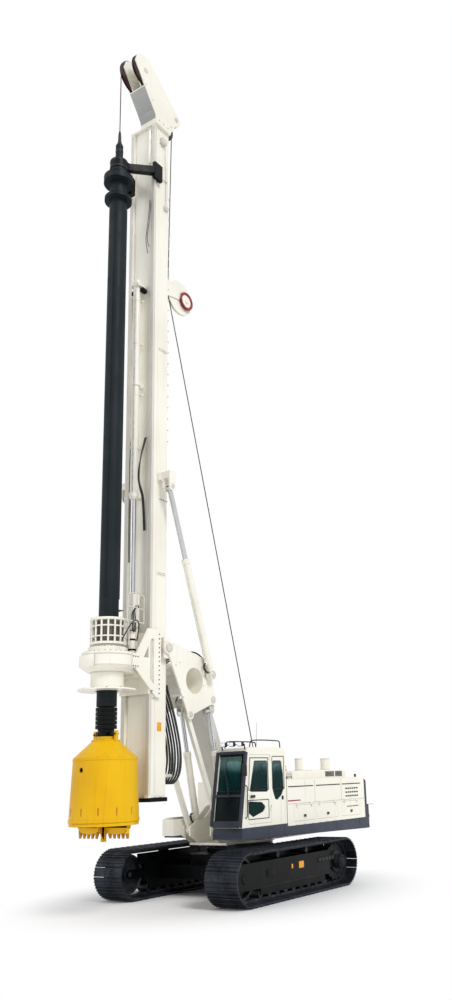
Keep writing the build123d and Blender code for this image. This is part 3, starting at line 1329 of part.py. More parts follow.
# rope from the low pulley down to the winch drum, straight between the two
fall_run = between(WINCH, LOW_PULLEY)
fall_centre = atan2(LOW_PULLEY[1] - WINCH[1], LOW_PULLEY[0] - WINCH[0])
fall_angle = fall_centre + (WOUND_RADIUS - LOW_LINE) / fall_run
fall_low = on_sheave(WINCH, WOUND_RADIUS, fall_angle - pi / 2)
fall_high = on_sheave(LOW_PULLEY, LOW_LINE, fall_angle - pi / 2)

with BuildPart() as winch_rope:
    with BuildSketch(aim_plane(fall_low, fall_high, 0)):
        Circle(ROPE_RADIUS)
    extrude(amount=between(fall_low, fall_high))
save(winch_rope.part, "winch_rope")

# ================================================================ carriage and rotary drive
SLED_GAP = 8
SLED_THICK = 40
SLED_LOW = 5150
SLED_TOP = 6900
CLAW_DEPTH = 60
DRUM_LOW = 5720
DRUM_CONE = 110
DRUM_TOP = 6200
COLLAR_TOP = 6330
CAGE_LOW = 6400
COLLAR_RADIUS = 490
HOUSING_HALF = 660
HOUSING_LENGTH = 220
GEARBOX_BACK = 4760
DRIVE_RADIUS_OUTER = 650
SLEEVE_OUTER = 330
SLEEVE_INNER = 290
sled_inner = RAIL_OUTER + SLED_GAP
sled_outer = sled_inner + SLED_THICK
front_inner = rail_front + SLED_GAP
claw_outer = rail_back - SLED_GAP
sled_outline = [
    (4060, SLED_LOW), (4240, SLED_LOW), (5000, 5820), (5000, 6180), (4560, SLED_TOP), (4060, SLED_TOP),
]
sled_window = [(4330, 5480), (4720, 5830), (4720, 6110), (4420, 6640), (4330, 6640)]

with BuildPart() as drive_carriage:
    with BuildSketch(side_plane(sled_outer)):
        with BuildLine():
            Polyline(*sled_outline, close=True)
        make_face()
        with BuildLine():
            Polyline(*sled_window, close=True)
        make_face(mode=Mode.SUBTRACT)
    extrude(amount=SLED_THICK)
    # claws behind the rails
    cheek_y = (MAST_HALF_WIDTH + SLED_GAP + sled_inner) / 2
    with BuildSketch(level_plane(SLED_LOW, claw_outer - CLAW_DEPTH / 2, cheek_y)):
        Rectangle(CLAW_DEPTH, sled_inner - MAST_HALF_WIDTH - SLED_GAP)
    extrude(amount=SLED_TOP - SLED_LOW)
    mirror(about=Plane.XZ)
    # front plate, gearbox arm and tower for the crowd cylinder's rod
    with BuildSketch(level_plane(SLED_LOW + 80, front_inner + 25)):
        Rectangle(50, 2 * sled_inner)
    extrude(amount=SLED_TOP - SLED_LOW - 160)
    with BuildSketch(level_plane(DRUM_LOW - 60, (front_inner + 30 + GEARBOX_BACK) / 2)):
        Rectangle(GEARBOX_BACK - front_inner - 30, 2 * sled_inner)
    extrude(amount=DRUM_TOP - DRUM_LOW)
    with BuildSketch(level_plane(SLED_TOP - 500, (front_inner + CROWD_X + 90) / 2)):
        Rectangle(CROWD_X + 90 - front_inner, 240)
    extrude(amount=CARRIAGE_TOWER - SLED_TOP + 500)
save(drive_carriage.part, "drive_carriage")

housing_back = 5000 + 2 * RUN_GAP  # in front of the sled's side plates
with BuildPart() as gearbox:
    with BuildSketch(level_plane(DRUM_LOW + DRUM_CONE, KELLY_REACH)):
        Circle(DRIVE_RADIUS_OUTER)
    extrude(amount=DRUM_TOP - DRUM_LOW - DRUM_CONE)
    with BuildSketch(level_plane(DRUM_LOW, KELLY_REACH)):
        Circle(COLLAR_RADIUS)
    with BuildSketch(level_plane(DRUM_LOW + DRUM_CONE, KELLY_REACH)):
        Circle(DRIVE_RADIUS_OUTER)
    loft()
    # case towards the mast, with boxes for the drive's valves at its sides
    with BuildSketch(level_plane(DRUM_LOW, (GEARBOX_BACK + KELLY_REACH) / 2)):
        Rectangle(KELLY_REACH - GEARBOX_BACK, 900)
    extrude(amount=DRUM_TOP - DRUM_LOW)
    with BuildSketch(level_plane(DRUM_LOW + DRUM_CONE, housing_back + HOUSING_LENGTH / 2)):
        Rectangle(HOUSING_LENGTH, 2 * HOUSING_HALF)
    extrude(amount=DRUM_TOP - DRUM_LOW - DRUM_CONE - 20)
    with BuildSketch(level_plane(DRUM_TOP, KELLY_REACH)):
        Circle(COLLAR_RADIUS)
    extrude(amount=COLLAR_TOP - DRUM_TOP)
    with BuildSketch(level_plane(COLLAR_TOP, KELLY_REACH)):
        Circle(COLLAR_RADIUS - 70)
    extrude(amount=CAGE_LOW - RUN_GAP - COLLAR_TOP, taper=20)
    with BuildSketch(level_plane(DRUM_LOW - 10, KELLY_REACH)):
        Circle(SLEEVE_OUTER + 10)
    extrude(amount=CAGE_LOW - DRUM_LOW + 10, mode=Mode.SUBTRACT)
save(gearbox.part, "gearbox")

MOTOR_Y = 280
MOTOR_X = 4880
with BuildPart() as drive_motors:
    with BuildSketch(level_plane(DRUM_TOP, MOTOR_X)):
        with Locations((0, MOTOR_Y), (0, -MOTOR_Y)):
            Circle(100)
    extrude(amount=520)
    with BuildSketch(level_plane(DRUM_TOP + 460, MOTOR_X)):
        with Locations((0, MOTOR_Y), (0, -MOTOR_Y)):
            Rectangle(150, 130)
    extrude(amount=140)
save(drive_motors.part, "drive_motors")

with BuildPart() as crowd_rod:
    with BuildSketch(level_plane(CARRIAGE_TOWER, CROWD_X)):
        Circle(CROWD_ROD)
    extrude(amount=CROWD_LOW + 2600 - CARRIAGE_TOWER)
save(crowd_rod.part, "crowd_rod")

# sleeve that turns the kelly: a tube through the gearbox, the cage above and the flange below
CAGE_TOP = 7070
CAGE_RADIUS = 460
CAGE_RING = 60
CAGE_POSTS = 16
NECK_RADIUS = 410
SLEEVE_LOW = 5270
FLANGE_RADIUS = 720
CASING_FLANGE = 35
BOLT_CIRCLE = 640
BOLT_RADIUS = 15
BOLT_COUNT = 12

with BuildPart() as drive_sleeve:
    with BuildSketch(level_plane(SLEEVE_LOW, KELLY_REACH)):
        Circle(SLEEVE_OUTER)
    extrude(amount=CAGE_TOP - SLEEVE_LOW)
    with BuildSketch(level_plane(SLEEVE_LOW, KELLY_REACH)):
        Circle(FLANGE_RADIUS)
        with PolarLocations(BOLT_CIRCLE, BOLT_COUNT):
            Circle(BOLT_RADIUS, mode=Mode.SUBTRACT)
    extrude(amount=CASING_FLANGE)
    with BuildSketch(level_plane(SLEEVE_LOW, KELLY_REACH)):
        Circle(NECK_RADIUS)
    extrude(amount=DRUM_LOW - RUN_GAP - SLEEVE_LOW)
    for low, high in ((CAGE_LOW, CAGE_LOW + CAGE_RING), (CAGE_TOP - CAGE_RING, CAGE_TOP)):
        with BuildSketch(level_plane(low, KELLY_REACH)):
            Circle(CAGE_RADIUS)
        extrude(amount=high - low)
    with BuildSketch(level_plane(CAGE_LOW, KELLY_REACH)):
        with PolarLocations(CAGE_RADIUS - 35, CAGE_POSTS):
            Circle(25)
    extrude(amount=CAGE_TOP - CAGE_LOW)
    with BuildSketch(level_plane(SLEEVE_LOW, KELLY_REACH)):
        Circle(SLEEVE_INNER)
    extrude(amount=CAGE_TOP - SLEEVE_LOW, mode=Mode.SUBTRACT)
save(drive_sleeve.part, "drive_sleeve")

# ================================================================ kelly, guide and drilling bucket
GUIDE_LOW = 20500
GUIDE_HEIGHT = 300
GUIDE_RADIUS = 262
TUBE_TOP = GUIDE_LOW - RUN_GAP
ARM_DEPTH = 230
ARM_RISE = 280  # arm's mast end above its end at the ring
CLAMP_LOW = GUIDE_LOW + 130
CLAMP_HEIGHT = 550
CLAMP_BACK = 4200
CLAMP_FRONT = 4540
CLAMP_THICK = 100
RING_GAP = 8
SWIVEL_RADIUS = 110
PAD_GAP = 15  # from the kelly's upper flange to the pad that hangs beside it
PAD_LENGTH = 150
PAD_DEPTH = 540
TOP_FLANGES = ((20030, 220, 425), (19430, 110, 390))  # low face, thickness, radius
clamp_outer = sled_inner + CLAMP_THICK
pad_front = KELLY_REACH - TOP_FLANGES[0][2] - PAD_GAP

with BuildPart() as guide_arm:
    # the arm in plan, then cut to its slanting side view
    with BuildSketch(level_plane(GUIDE_LOW)):
        with BuildLine():
            Polyline(
                (KELLY_REACH + 40, 235), (KELLY_REACH - 190, 250), (front_inner + 60, clamp_outer),
                (front_inner - 10, clamp_outer), (front_inner - 10, sled_inner), (front_inner, sled_inner),
                (front_inner, sled_inner - 120),
                (KELLY_REACH - 235, 60), close=True,
            )
        make_face()
    extrude(amount=ARM_RISE + ARM_DEPTH + 100)
    with BuildSketch(side_plane(clamp_outer + 10)):
        with BuildLine():
            Polyline(
                (KELLY_REACH + 60, GUIDE_LOW + 40), (KELLY_REACH - 150, GUIDE_LOW + 40),
                (front_inner - 20, GUIDE_LOW + 40 + ARM_RISE),
                (front_inner - 20, GUIDE_LOW + 40 + ARM_RISE + ARM_DEPTH),
                (KELLY_REACH - 150, GUIDE_LOW + 40 + ARM_DEPTH),
                (KELLY_REACH + 60, GUIDE_LOW + 40 + ARM_DEPTH),
                close=True,
            )
        make_face()
    extrude(amount=clamp_outer + 10, mode=Mode.INTERSECT)

with BuildPart() as kelly_guide:
    add(guide_arm.part)
    # clamp beside the rail and its claw behind it
    with BuildSketch(level_plane(CLAMP_LOW, (CLAMP_FRONT + CLAMP_BACK) / 2, sled_inner + CLAMP_THICK / 2)):
        Rectangle(CLAMP_FRONT - CLAMP_BACK, CLAMP_THICK)
    extrude(amount=CLAMP_HEIGHT)
    with BuildSketch(level_plane(CLAMP_LOW, claw_outer - CLAW_DEPTH / 2,
                                 (MAST_HALF_WIDTH + SLED_GAP + sled_inner) / 2)):
        Rectangle(CLAW_DEPTH, sled_inner - MAST_HALF_WIDTH - SLED_GAP)
    extrude(amount=CLAMP_HEIGHT)
    mirror(about=Plane.XZ)
    with BuildSketch(level_plane(GUIDE_LOW, KELLY_REACH)):
        Circle(GUIDE_RADIUS)
    extrude(amount=GUIDE_HEIGHT)
    # pad that hangs beside the kelly's upper flange
    with BuildSketch(level_plane(GUIDE_LOW, (pad_front - PAD_LENGTH + KELLY_REACH) / 2)):
        Rectangle(KELLY_REACH - pad_front + PAD_LENGTH, 120)
    extrude(amount=100)
    with BuildSketch(level_plane(GUIDE_LOW + 20, pad_front - PAD_LENGTH / 2)):
        Rectangle(PAD_LENGTH, 200)
    extrude(amount=-PAD_DEPTH)
    with BuildSketch(level_plane(GUIDE_LOW, KELLY_REACH)):
        Circle(SWIVEL_RADIUS + RING_GAP)
    extrude(amount=GUIDE_HEIGHT, mode=Mode.SUBTRACT)
save(kelly_guide.part, "kelly_guide")

middle_radius = KELLY_RADIUS - KELLY_WALL - KELLY_STEP
inner_radius = middle_radius - KELLY_WALL - KELLY_STEP

with BuildPart() as kelly_outer:
    with BuildSketch(level_plane(KELLY_BOTTOM, KELLY_REACH)):
        Circle(KELLY_RADIUS)
    extrude(amount=TUBE_TOP - KELLY_BOTTOM)
    for low, thick, radius in TOP_FLANGES:
        with BuildSketch(level_plane(low, KELLY_REACH)):
            Circle(radius)
        extrude(amount=thick)
    with BuildSketch(level_plane(KELLY_BOTTOM, KELLY_REACH)):
        Circle(KELLY_RADIUS - KELLY_WALL)
    extrude(amount=TUBE_TOP - KELLY_BOTTOM, mode=Mode.SUBTRACT)
save(kelly_outer.part, "kelly_outer")

with BuildPart() as kelly_middle:
    with BuildSketch(level_plane(KELLY_BOTTOM + 20, KELLY_REACH)):
        Circle(middle_radius)
        Circle(middle_radius - KELLY_WALL, mode=Mode.SUBTRACT)
    extrude(amount=TUBE_TOP - KELLY_BOTTOM - 20)
save(kelly_middle.part, "kelly_middle")

SWIVEL_TOP = 21500
SPRING_TOP = 4860
SPRING_RADIUS = 262
SPRING_THICK = 85
SPRING_RINGS = 5
SPRING_PITCH = 106
STUB_HALF = 130
STUB_BOTTOM = 4160
ROPE_BORE = ROPE_RADIUS + 10

with BuildPart() as kelly_inner:
    with BuildSketch(level_plane(SPRING_TOP, KELLY_REACH)):
        Circle(inner_radius)
    extrude(amount=TUBE_TOP - SPRING_TOP)
    with BuildSketch(level_plane(SPRING_TOP, KELLY_REACH)):
        Circle(inner_radius - KELLY_WALL)
    extrude(amount=TUBE_TOP - SPRING_TOP - 60, mode=Mode.SUBTRACT)
    # shock spring rings and the stub that fits the bucket
    for number in range(SPRING_RINGS):
        with BuildSketch(level_plane(SPRING_TOP - SPRING_THICK - number * SPRING_PITCH, KELLY_REACH)):
            Circle(SPRING_RADIUS)
        extrude(amount=SPRING_THICK)
    with BuildSketch(level_plane(STUB_BOTTOM + 100, KELLY_REACH)):
        Circle(SPRING_RADIUS - 60)
    extrude(amount=SPRING_TOP - STUB_BOTTOM - 100)
    with BuildSketch(level_plane(STUB_BOTTOM, KELLY_REACH)):
        Rectangle(2 * STUB_HALF, 2 * STUB_HALF)
    extrude(amount=150)
    with BuildSketch(level_plane(STUB_BOTTOM, KELLY_REACH)):
        Circle(ROPE_BORE)
    extrude(amount=TUBE_TOP - STUB_BOTTOM, mode=Mode.SUBTRACT)
save(kelly_inner.part, "kelly_inner")

with BuildPart() as kelly_swivel:
    with BuildSketch(level_plane(TUBE_TOP, KELLY_REACH)):
        Circle(SWIVEL_RADIUS)
    extrude(amount=SWIVEL_TOP - TUBE_TOP - 120)
    with BuildSketch(level_plane(SWIVEL_TOP - 120, KELLY_REACH)):
        Circle(SWIVEL_RADIUS)
    extrude(amount=120, taper=25)
    with BuildSketch(level_plane(TUBE_TOP, KELLY_REACH)):
        Circle(ROPE_BORE)
    extrude(amount=SWIVEL_TOP - TUBE_TOP, mode=Mode.SUBTRACT)
save(kelly_swivel.part, "kelly_swivel")

BUCKET_BOTTOM = 2180
BUCKET_SHOULDER = 3660
BUCKET_NECK = 4060
NECK_TOP_RADIUS = 330
SHOULDER_RADIUS = 765
BUCKET_WALL = 25
LIFT_POST = 75
POST_PLACE = 350
POST_TOP = 4300
VENT_RADIUS = 60
HINGE_RADIUS = 45
HINGE_HALF = 120
HINGE_BRACKET = 35
HINGE_X = KELLY_REACH - BUCKET_RADIUS - 60
HINGE_Z = BUCKET_BOTTOM - 40
bracket_face = HINGE_HALF + RUN_GAP + HINGE_BRACKET

with BuildPart() as bucket_shell:
    # brackets and pin of the gate's hinge
    with BuildSketch(side_plane(bracket_face)):
        with BuildLine():
            Polyline(
                (HINGE_X - 60, HINGE_Z - 60), (HINGE_X - 60, HINGE_Z + 60), (HINGE_X + 100, HINGE_Z + 420),
                (HINGE_X + 100, BUCKET_BOTTOM), (HINGE_X + 65, BUCKET_BOTTOM), (HINGE_X + 50, HINGE_Z - 60),
                close=True,
            )
        make_face()
    extrude(amount=HINGE_BRACKET)
    mirror(about=Plane.XZ)
    with BuildSketch(side_plane(bracket_face)):
        with Locations((HINGE_X, HINGE_Z)):
            Circle(HINGE_RADIUS / 2)
    extrude(amount=2 * bracket_face)
    with BuildSketch(level_plane(BUCKET_BOTTOM, KELLY_REACH)):
        Circle(BUCKET_RADIUS)
    with BuildSketch(level_plane(BUCKET_SHOULDER, KELLY_REACH)):
        Circle(SHOULDER_RADIUS)
    loft()
    with BuildSketch(level_plane(BUCKET_SHOULDER, KELLY_REACH)):
        Circle(SHOULDER_RADIUS)
    with BuildSketch(level_plane(BUCKET_NECK, KELLY_REACH)):
        Circle(NECK_TOP_RADIUS)
    loft()
    with BuildSketch(level_plane(BUCKET_BOTTOM, KELLY_REACH)):
        Circle(BUCKET_RADIUS - BUCKET_WALL)
    with BuildSketch(level_plane(BUCKET_SHOULDER - 30, KELLY_REACH)):
        Circle(SHOULDER_RADIUS - BUCKET_WALL)
    loft(mode=Mode.SUBTRACT)
    with BuildSketch(level_plane(BUCKET_SHOULDER - 30, KELLY_REACH)):
        Circle(SHOULDER_RADIUS - BUCKET_WALL)
    with BuildSketch(level_plane(BUCKET_NECK - 50, KELLY_REACH)):
        Circle(NECK_TOP_RADIUS - 20)
    loft(mode=Mode.SUBTRACT)
    # collar with a square seat for the kelly's stub, and two lifting posts
    with BuildSketch(level_plane(BUCKET_NECK - 50, KELLY_REACH)):
        Circle(STUB_HALF + 130)
    extrude(amount=STUB_BOTTOM - BUCKET_NECK + 50)
    with BuildSketch(level_plane(BUCKET_NECK - 250, KELLY_REACH)):
        with Locations((0, POST_PLACE), (0, -POST_PLACE)):
            Rectangle(LIFT_POST, LIFT_POST)
    extrude(amount=POST_TOP - BUCKET_NECK + 250)
    with BuildSketch(Plane(origin=(KELLY_X, 0, 3380), x_dir=(0, 1, 0), z_dir=(1, 0, 0))):
        Circle(VENT_RADIUS)
    extrude(amount=BUCKET_RADIUS + 10, mode=Mode.SUBTRACT)
save(bucket_shell.part, "bucket_shell")

GATE_THICK = 70
TOOTH_BASE = BUCKET_BOTTOM - RUN_GAP - GATE_THICK
TOOTH_TIP = 1730
TOOTH_PLACES = (140, 280, 420, 560, 700)

with BuildPart() as bucket_gate:
    with BuildSketch(level_plane(TOOTH_BASE, KELLY_REACH)):
        Circle(BUCKET_RADIUS - 10)
        Circle(ROPE_BORE, mode=Mode.SUBTRACT)
    extrude(amount=GATE_THICK)
    # hinge eye with its arm, two rows of teeth and the pilot
    with BuildSketch(side_plane(HINGE_HALF)):
        with Locations((HINGE_X, HINGE_Z)):
            Circle(HINGE_RADIUS)
        with Locations((HINGE_X + 110, HINGE_Z - 10)):
            Rectangle(220, 50)
    extrude(amount=2 * HINGE_HALF)
    with BuildSketch(side_plane(HINGE_HALF)):
        with Locations((HINGE_X, HINGE_Z)):
            Circle(HINGE_RADIUS / 2 + PIN_GAP)
    extrude(amount=2 * HINGE_HALF, mode=Mode.SUBTRACT)
    for tip_side in (1, -1):
        with BuildSketch(level_plane(TOOTH_BASE - 190, KELLY_REACH)):
            for reach in TOOTH_PLACES:
                with Locations((-60 * tip_side, reach * tip_side)):
                    Rectangle(90, 70)
        extrude(amount=195)
    with BuildSketch(level_plane(TOOTH_TIP, KELLY_REACH)):
        Rectangle(150, 40)
    extrude(amount=TOOTH_BASE - TOOTH_TIP + 5)
save(bucket_gate.part, "bucket_gate")
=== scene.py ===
"""Finishes, trim and setting of a tracked rotary piling rig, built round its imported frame.

Lengths are metres, X runs forward, Y to the driver's left and Z up. Places are written from the
slew axis, which the frame's slew joint gives, or from the boxes of the frame's own nodes.
"""

import json
import logging
import math
from dataclasses import dataclass
from enum import Enum, IntEnum
from typing import Iterable, Protocol, Sequence

import bmesh
import bpy
from mathutils import Matrix, Vector


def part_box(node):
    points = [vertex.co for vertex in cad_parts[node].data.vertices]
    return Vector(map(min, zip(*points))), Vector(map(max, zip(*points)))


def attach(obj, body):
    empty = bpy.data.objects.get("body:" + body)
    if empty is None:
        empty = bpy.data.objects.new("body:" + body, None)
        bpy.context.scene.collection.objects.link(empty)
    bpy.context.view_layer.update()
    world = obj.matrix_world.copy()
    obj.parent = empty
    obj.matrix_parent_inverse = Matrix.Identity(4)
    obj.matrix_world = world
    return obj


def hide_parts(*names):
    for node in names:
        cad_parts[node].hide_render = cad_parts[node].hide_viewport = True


LOG = logging.getLogger("piling_rig")
logging.basicConfig(level=logging.INFO, format="%(name)s: %(message)s")

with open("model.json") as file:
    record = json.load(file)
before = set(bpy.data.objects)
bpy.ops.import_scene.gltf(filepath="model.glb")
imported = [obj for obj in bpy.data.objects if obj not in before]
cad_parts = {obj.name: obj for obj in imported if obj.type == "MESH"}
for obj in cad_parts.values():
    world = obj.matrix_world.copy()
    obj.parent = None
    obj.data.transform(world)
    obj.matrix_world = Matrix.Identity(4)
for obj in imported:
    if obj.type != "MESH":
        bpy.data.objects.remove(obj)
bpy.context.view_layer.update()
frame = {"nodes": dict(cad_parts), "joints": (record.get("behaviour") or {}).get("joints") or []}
JOINTS = {joint["name"]: joint for joint in frame["joints"]}
SLEW_X = JOINTS["slew"]["pos_m"][0]
# Distances from the slew axis: forward to the drilling axis, and out to the upper body's side.
DRILL_AXIS = 5.43
HOUSE_SIDE = 1.62

UP = (0, 0, 1)
ACROSS = (0, 1, 0)

Point = Sequence[float]
Colour = tuple[int, int, int]
Profile = Sequence[tuple[float, float]]


class Side(IntEnum):
    """A side of the machine, or of a part on it; its value mirrors a distance to the left."""

    LEFT = 1
    RIGHT = -1

    @property
    def label(self) -> str:
        """Gives the word for the side in a piece's name."""
        return self.name.lower()

    @property
    def out(self) -> tuple[int, int, int]:
        """Gives the direction that faces out from this side."""
        return (0, self.value, 0)


class Axis(Enum):
    """Main axis that a ring of places stands across."""

    Y = "Y"
    Z = "Z"

    def spread(self, first: float, second: float) -> Vector:
        """Gives an offset across the axis from its two parts."""
        return Vector((first, second, 0.0) if self is Axis.Z else (first, 0.0, second))


def at(forward: float, left: float, up: float) -> Vector:
    """Gives the world place of a point measured from the slew axis."""
    return Vector((SLEW_X + forward, left, up))


def linear(colour: Colour) -> tuple[float, float, float, float]:
    """Turns an 8-bit display colour into scene-linear values.

    Args:
        colour: red, green and blue from 0 to 255.

    Returns:
        Linear red, green, blue and a full alpha.
    """
    shares = [value / 255 for value in colour]
    red, green, blue = ((s / 12.92) if s <= 0.04045 else ((s + 0.055) / 1.055) ** 2.4 for s in shares)
    return (red, green, blue, 1.0)


# ------------------------------------------------------------------ finishes
class Graph:
    """A material's node tree with short calls for the nodes that the finishes use."""

    def __init__(self, name: str) -> None:
        """Starts an empty material with its output and shader in place."""
        self.material = bpy.data.materials.new(name)
        self.material.use_nodes = True
        self.tree = self.material.node_tree
        self.tree.nodes.clear()
        self.output = self.node("ShaderNodeOutputMaterial")
        self.shader = self.node("ShaderNodeBsdfPrincipled")
        self.link(self.shader.outputs["BSDF"], self.output.inputs["Surface"])
        self.place = self.node("ShaderNodeTexCoord").outputs["Object"]

    def node(self, kind: str, **values: object) -> bpy.types.Node:
        """Adds a node and sets its plain attributes."""
        made = self.tree.nodes.new(kind)
        for name, value in values.items():
            setattr(made, name, value)
        return made

    def link(self, source: bpy.types.NodeSocket, target: bpy.types.NodeSocket) -> None:
        """Joins an output to an input."""
        self.tree.links.new(source, target)

    def stretched(self, scale: Point) -> bpy.types.NodeSocket:
        """Gives Object coordinates scaled along each axis."""
        mapping = self.node("ShaderNodeMapping")
        self.link(self.place, mapping.inputs["Vector"])
        mapping.inputs["Scale"].default_value = scale
        return mapping.outputs["Vector"]

    def noise(self, scale: float, detail: float = 4.0, stretch: Point = (1, 1, 1)) -> bpy.types.NodeSocket:
        """Gives a cloud pattern with a value about a half."""
        made = self.node("ShaderNodeTexNoise")
        made.inputs["Scale"].default_value = scale
        made.inputs["Detail"].default_value = detail
        self.link(self.stretched(stretch), made.inputs["Vector"])
        return made.outputs["Fac"]

    def ramp(self, value: bpy.types.NodeSocket, low: float, high: float, top: float = 1.0) -> bpy.types.NodeSocket:
        """Maps low..high of a value smoothly to 0..top."""
        made = self.node("ShaderNodeMapRange", interpolation_type="SMOOTHSTEP")
        self.link(value, made.inputs["Value"])
        for name, number in (("From Min", low), ("From Max", high), ("To Min", 0.0), ("To Max", top)):
            made.inputs[name].default_value = number
        return made.outputs["Result"]

    def maths(self, kind: str, first: object, second: object = 0.0) -> bpy.types.NodeSocket:
        """Works out one sum of two values or sockets."""
        made = self.node("ShaderNodeMath", operation=kind)
        for place, item in enumerate((first, second)):
            if isinstance(item, (int, float)):
                made.inputs[place].default_value = item
            else:
                self.link(item, made.inputs[place])
        return made.outputs["Value"]

    def blend(self, share: object, first: object, second: object) -> bpy.types.NodeSocket:
        """Mixes two colours, each a display colour or a socket, by a share."""
        made = self.node("ShaderNodeMix", data_type="RGBA")
        if isinstance(share, float):
            made.inputs["Factor"].default_value = share
        else:
            self.link(share, made.inputs["Factor"])
        for place, item in ((6, first), (7, second)):
            if isinstance(item, tuple):
                made.inputs[place].default_value = linear(item)
            else:
                self.link(item, made.inputs[place])
        return made.outputs[2]

    def height(self) -> bpy.types.NodeSocket:
        """Gives the height above the ground in metres."""
        split = self.node("ShaderNodeSeparateXYZ")
        self.link(self.place, split.inputs["Vector"])
        return split.outputs["Z"]

    def edges(self, radius: float) -> bpy.types.NodeSocket:
        """Gives 1 along sharp edges and 0 on flat faces."""
        rounded = self.node("ShaderNodeBevel", samples=4)
        rounded.inputs["Radius"].default_value = radius
        flat = self.node("ShaderNodeNewGeometry")
        dot = self.node("ShaderNodeVectorMath", operation="DOT_PRODUCT")
        self.link(rounded.outputs["Normal"], dot.inputs[0])
        self.link(flat.outputs["Normal"], dot.inputs[1])
        return self.ramp(self.maths("SUBTRACT", 1.0, dot.outputs["Value"]), 0.01, 0.12)

    def crevices(self, distance: float) -> bpy.types.NodeSocket:
        """Gives 1 in corners that things shade and 0 in the open."""
        made = self.node("ShaderNodeAmbientOcclusion", samples=4)
        made.inputs["Distance"].default_value = distance
        return self.ramp(self.maths("SUBTRACT", 1.0, made.outputs["AO"]), 0.25, 0.9)

    def bump(self, value: bpy.types.NodeSocket, strength: float, distance: float) -> None:
        """Raises the surface by a pattern."""
        made = self.node("ShaderNodeBump")
        made.inputs["Strength"].default_value = strength
        made.inputs["Distance"].default_value = distance
        self.link(value, made.inputs["Height"])
        self.link(made.outputs["Normal"], self.shader.inputs["Normal"])

    def surface(self, colour: object, roughness: object, metallic: float = 0.0, coat: float = 0.0) -> None:
        """Sets the shader's main inputs, each a value or a socket."""
        if isinstance(colour, tuple):
            self.shader.inputs["Base Color"].default_value = linear(colour)
        else:
            self.link(colour, self.shader.inputs["Base Color"])
        if isinstance(roughness, float):
            self.shader.inputs["Roughness"].default_value = roughness
        else:
            self.link(roughness, self.shader.inputs["Roughness"])
        self.shader.inputs["Metallic"].default_value = metallic
        self.shader.inputs["Coat Weight"].default_value = coat
        self.shader.inputs["Coat Roughness"].default_value = 0.12


class Finish:
    """Base of all finishes: a name, the record's slot and one shared material."""

    name: str
    slot: str

    def material(self) -> bpy.types.Material:
        """Gives the finish's material, made once."""
        return bpy.data.materials.get(self.name) or self.make()

    def make(self) -> bpy.types.Material:
        """Builds the material."""
        raise NotImplementedError


@dataclass(frozen=True)
class Paint(Finish):
    """Sprayed machine paint with faint streaks, grime in corners and rubbed edges."""

    name: str
    slot: str
    colour: Colour
    shade: Colour
    grime: Colour = (120, 112, 98)
    streaks: float = 0.12
    worn: float = 0.25
    bare: Colour = (150, 148, 142)
    roughness: float = 0.34
    coat: float = 0.25
    shine: float = 0.5

    def make(self) -> bpy.types.Material:
        """Builds the paint: tone clouds, rain streaks, corner grime, rubbed edges and orange peel."""
        graph = Graph(self.name)
        tone = graph.blend(graph.ramp(graph.noise(0.55, 3.0), 0.35, 0.7), self.colour, self.shade)
        rain = graph.ramp(graph.noise(9.0, 5.0, (1.0, 1.0, 0.06)), 0.52, 0.78, self.streaks)
        tone = graph.blend(rain, tone, self.grime)
        corner = graph.maths("MULTIPLY", graph.crevices(0.12), graph.ramp(graph.noise(4.0), 0.3, 0.75, 0.5))
        tone = graph.blend(corner, tone, self.grime)
        chips = graph.ramp(graph.noise(14.0, 6.0), 0.5, 0.62, self.worn)
        tone = graph.blend(graph.maths("MULTIPLY", graph.edges(0.006), chips), tone, self.bare)
        gloss = graph.maths("ADD", self.roughness - 0.06, graph.ramp(graph.noise(3.0), 0.3, 0.7, 0.14))
        graph.surface(tone, gloss, coat=self.coat)
        graph.shader.inputs["Specular IOR Level"].default_value = self.shine
        graph.bump(graph.noise(160.0, 2.0), 0.06, 0.001)
        return graph.material


@dataclass(frozen=True)
class Steel(Finish):
    """Bare, blued or blackened steel with brushed wear."""

    name: str
    slot: str
    colour: Colour
    bright: Colour
    roughness: float = 0.42
    metallic: float = 0.6
    worn: float = 0.7
    grain: float = 60.0
    dust: Colour = (96, 88, 78)
    dusty: float = 0.15

    def make(self) -> bpy.types.Material:
        """Builds the steel: clouded tone, dust, bright rubbed edges and a fine grain."""
        graph = Graph(self.name)
        tone = graph.blend(graph.ramp(graph.noise(2.5), 0.35, 0.7, 0.45), self.colour, self.bright)
        tone = graph.blend(graph.ramp(graph.noise(6.0, 6.0), 0.5, 0.8, self.dusty), tone, self.dust)
        rub = graph.maths("MULTIPLY", graph.edges(0.008), graph.ramp(graph.noise(9.0), 0.35, 0.6, self.worn))
        tone = graph.blend(rub, tone, self.bright)
        gloss = graph.maths("ADD", self.roughness - 0.1, graph.ramp(graph.noise(12.0), 0.3, 0.7, 0.22))
        graph.surface(tone, gloss, metallic=self.metallic)
        graph.shader.inputs["Specular IOR Level"].default_value = 0.25
        graph.bump(graph.noise(self.grain, 4.0), 0.12, 0.001)
        return graph.material


@dataclass(frozen=True)
class Chrome(Finish):
    """Hard-chromed rod with fine rings of polish and a thin oil film."""

    name: str = "chrome_rod"
    slot: str = "chrome"
    colour: Colour = (205, 207, 210)

    def make(self) -> bpy.types.Material:
        """Builds the chrome with polish marks along its length."""
        graph = Graph(self.name)
        film = graph.ramp(graph.noise(5.0, 3.0, (1, 1, 0.3)), 0.4, 0.75, 0.3)
        graph.surface(graph.blend(film, self.colour, (168, 166, 158)), 0.16, metallic=1.0)
        graph.bump(graph.noise(240.0, 2.0, (1, 1, 3.0)), 0.04, 0.0005)
        return graph.material


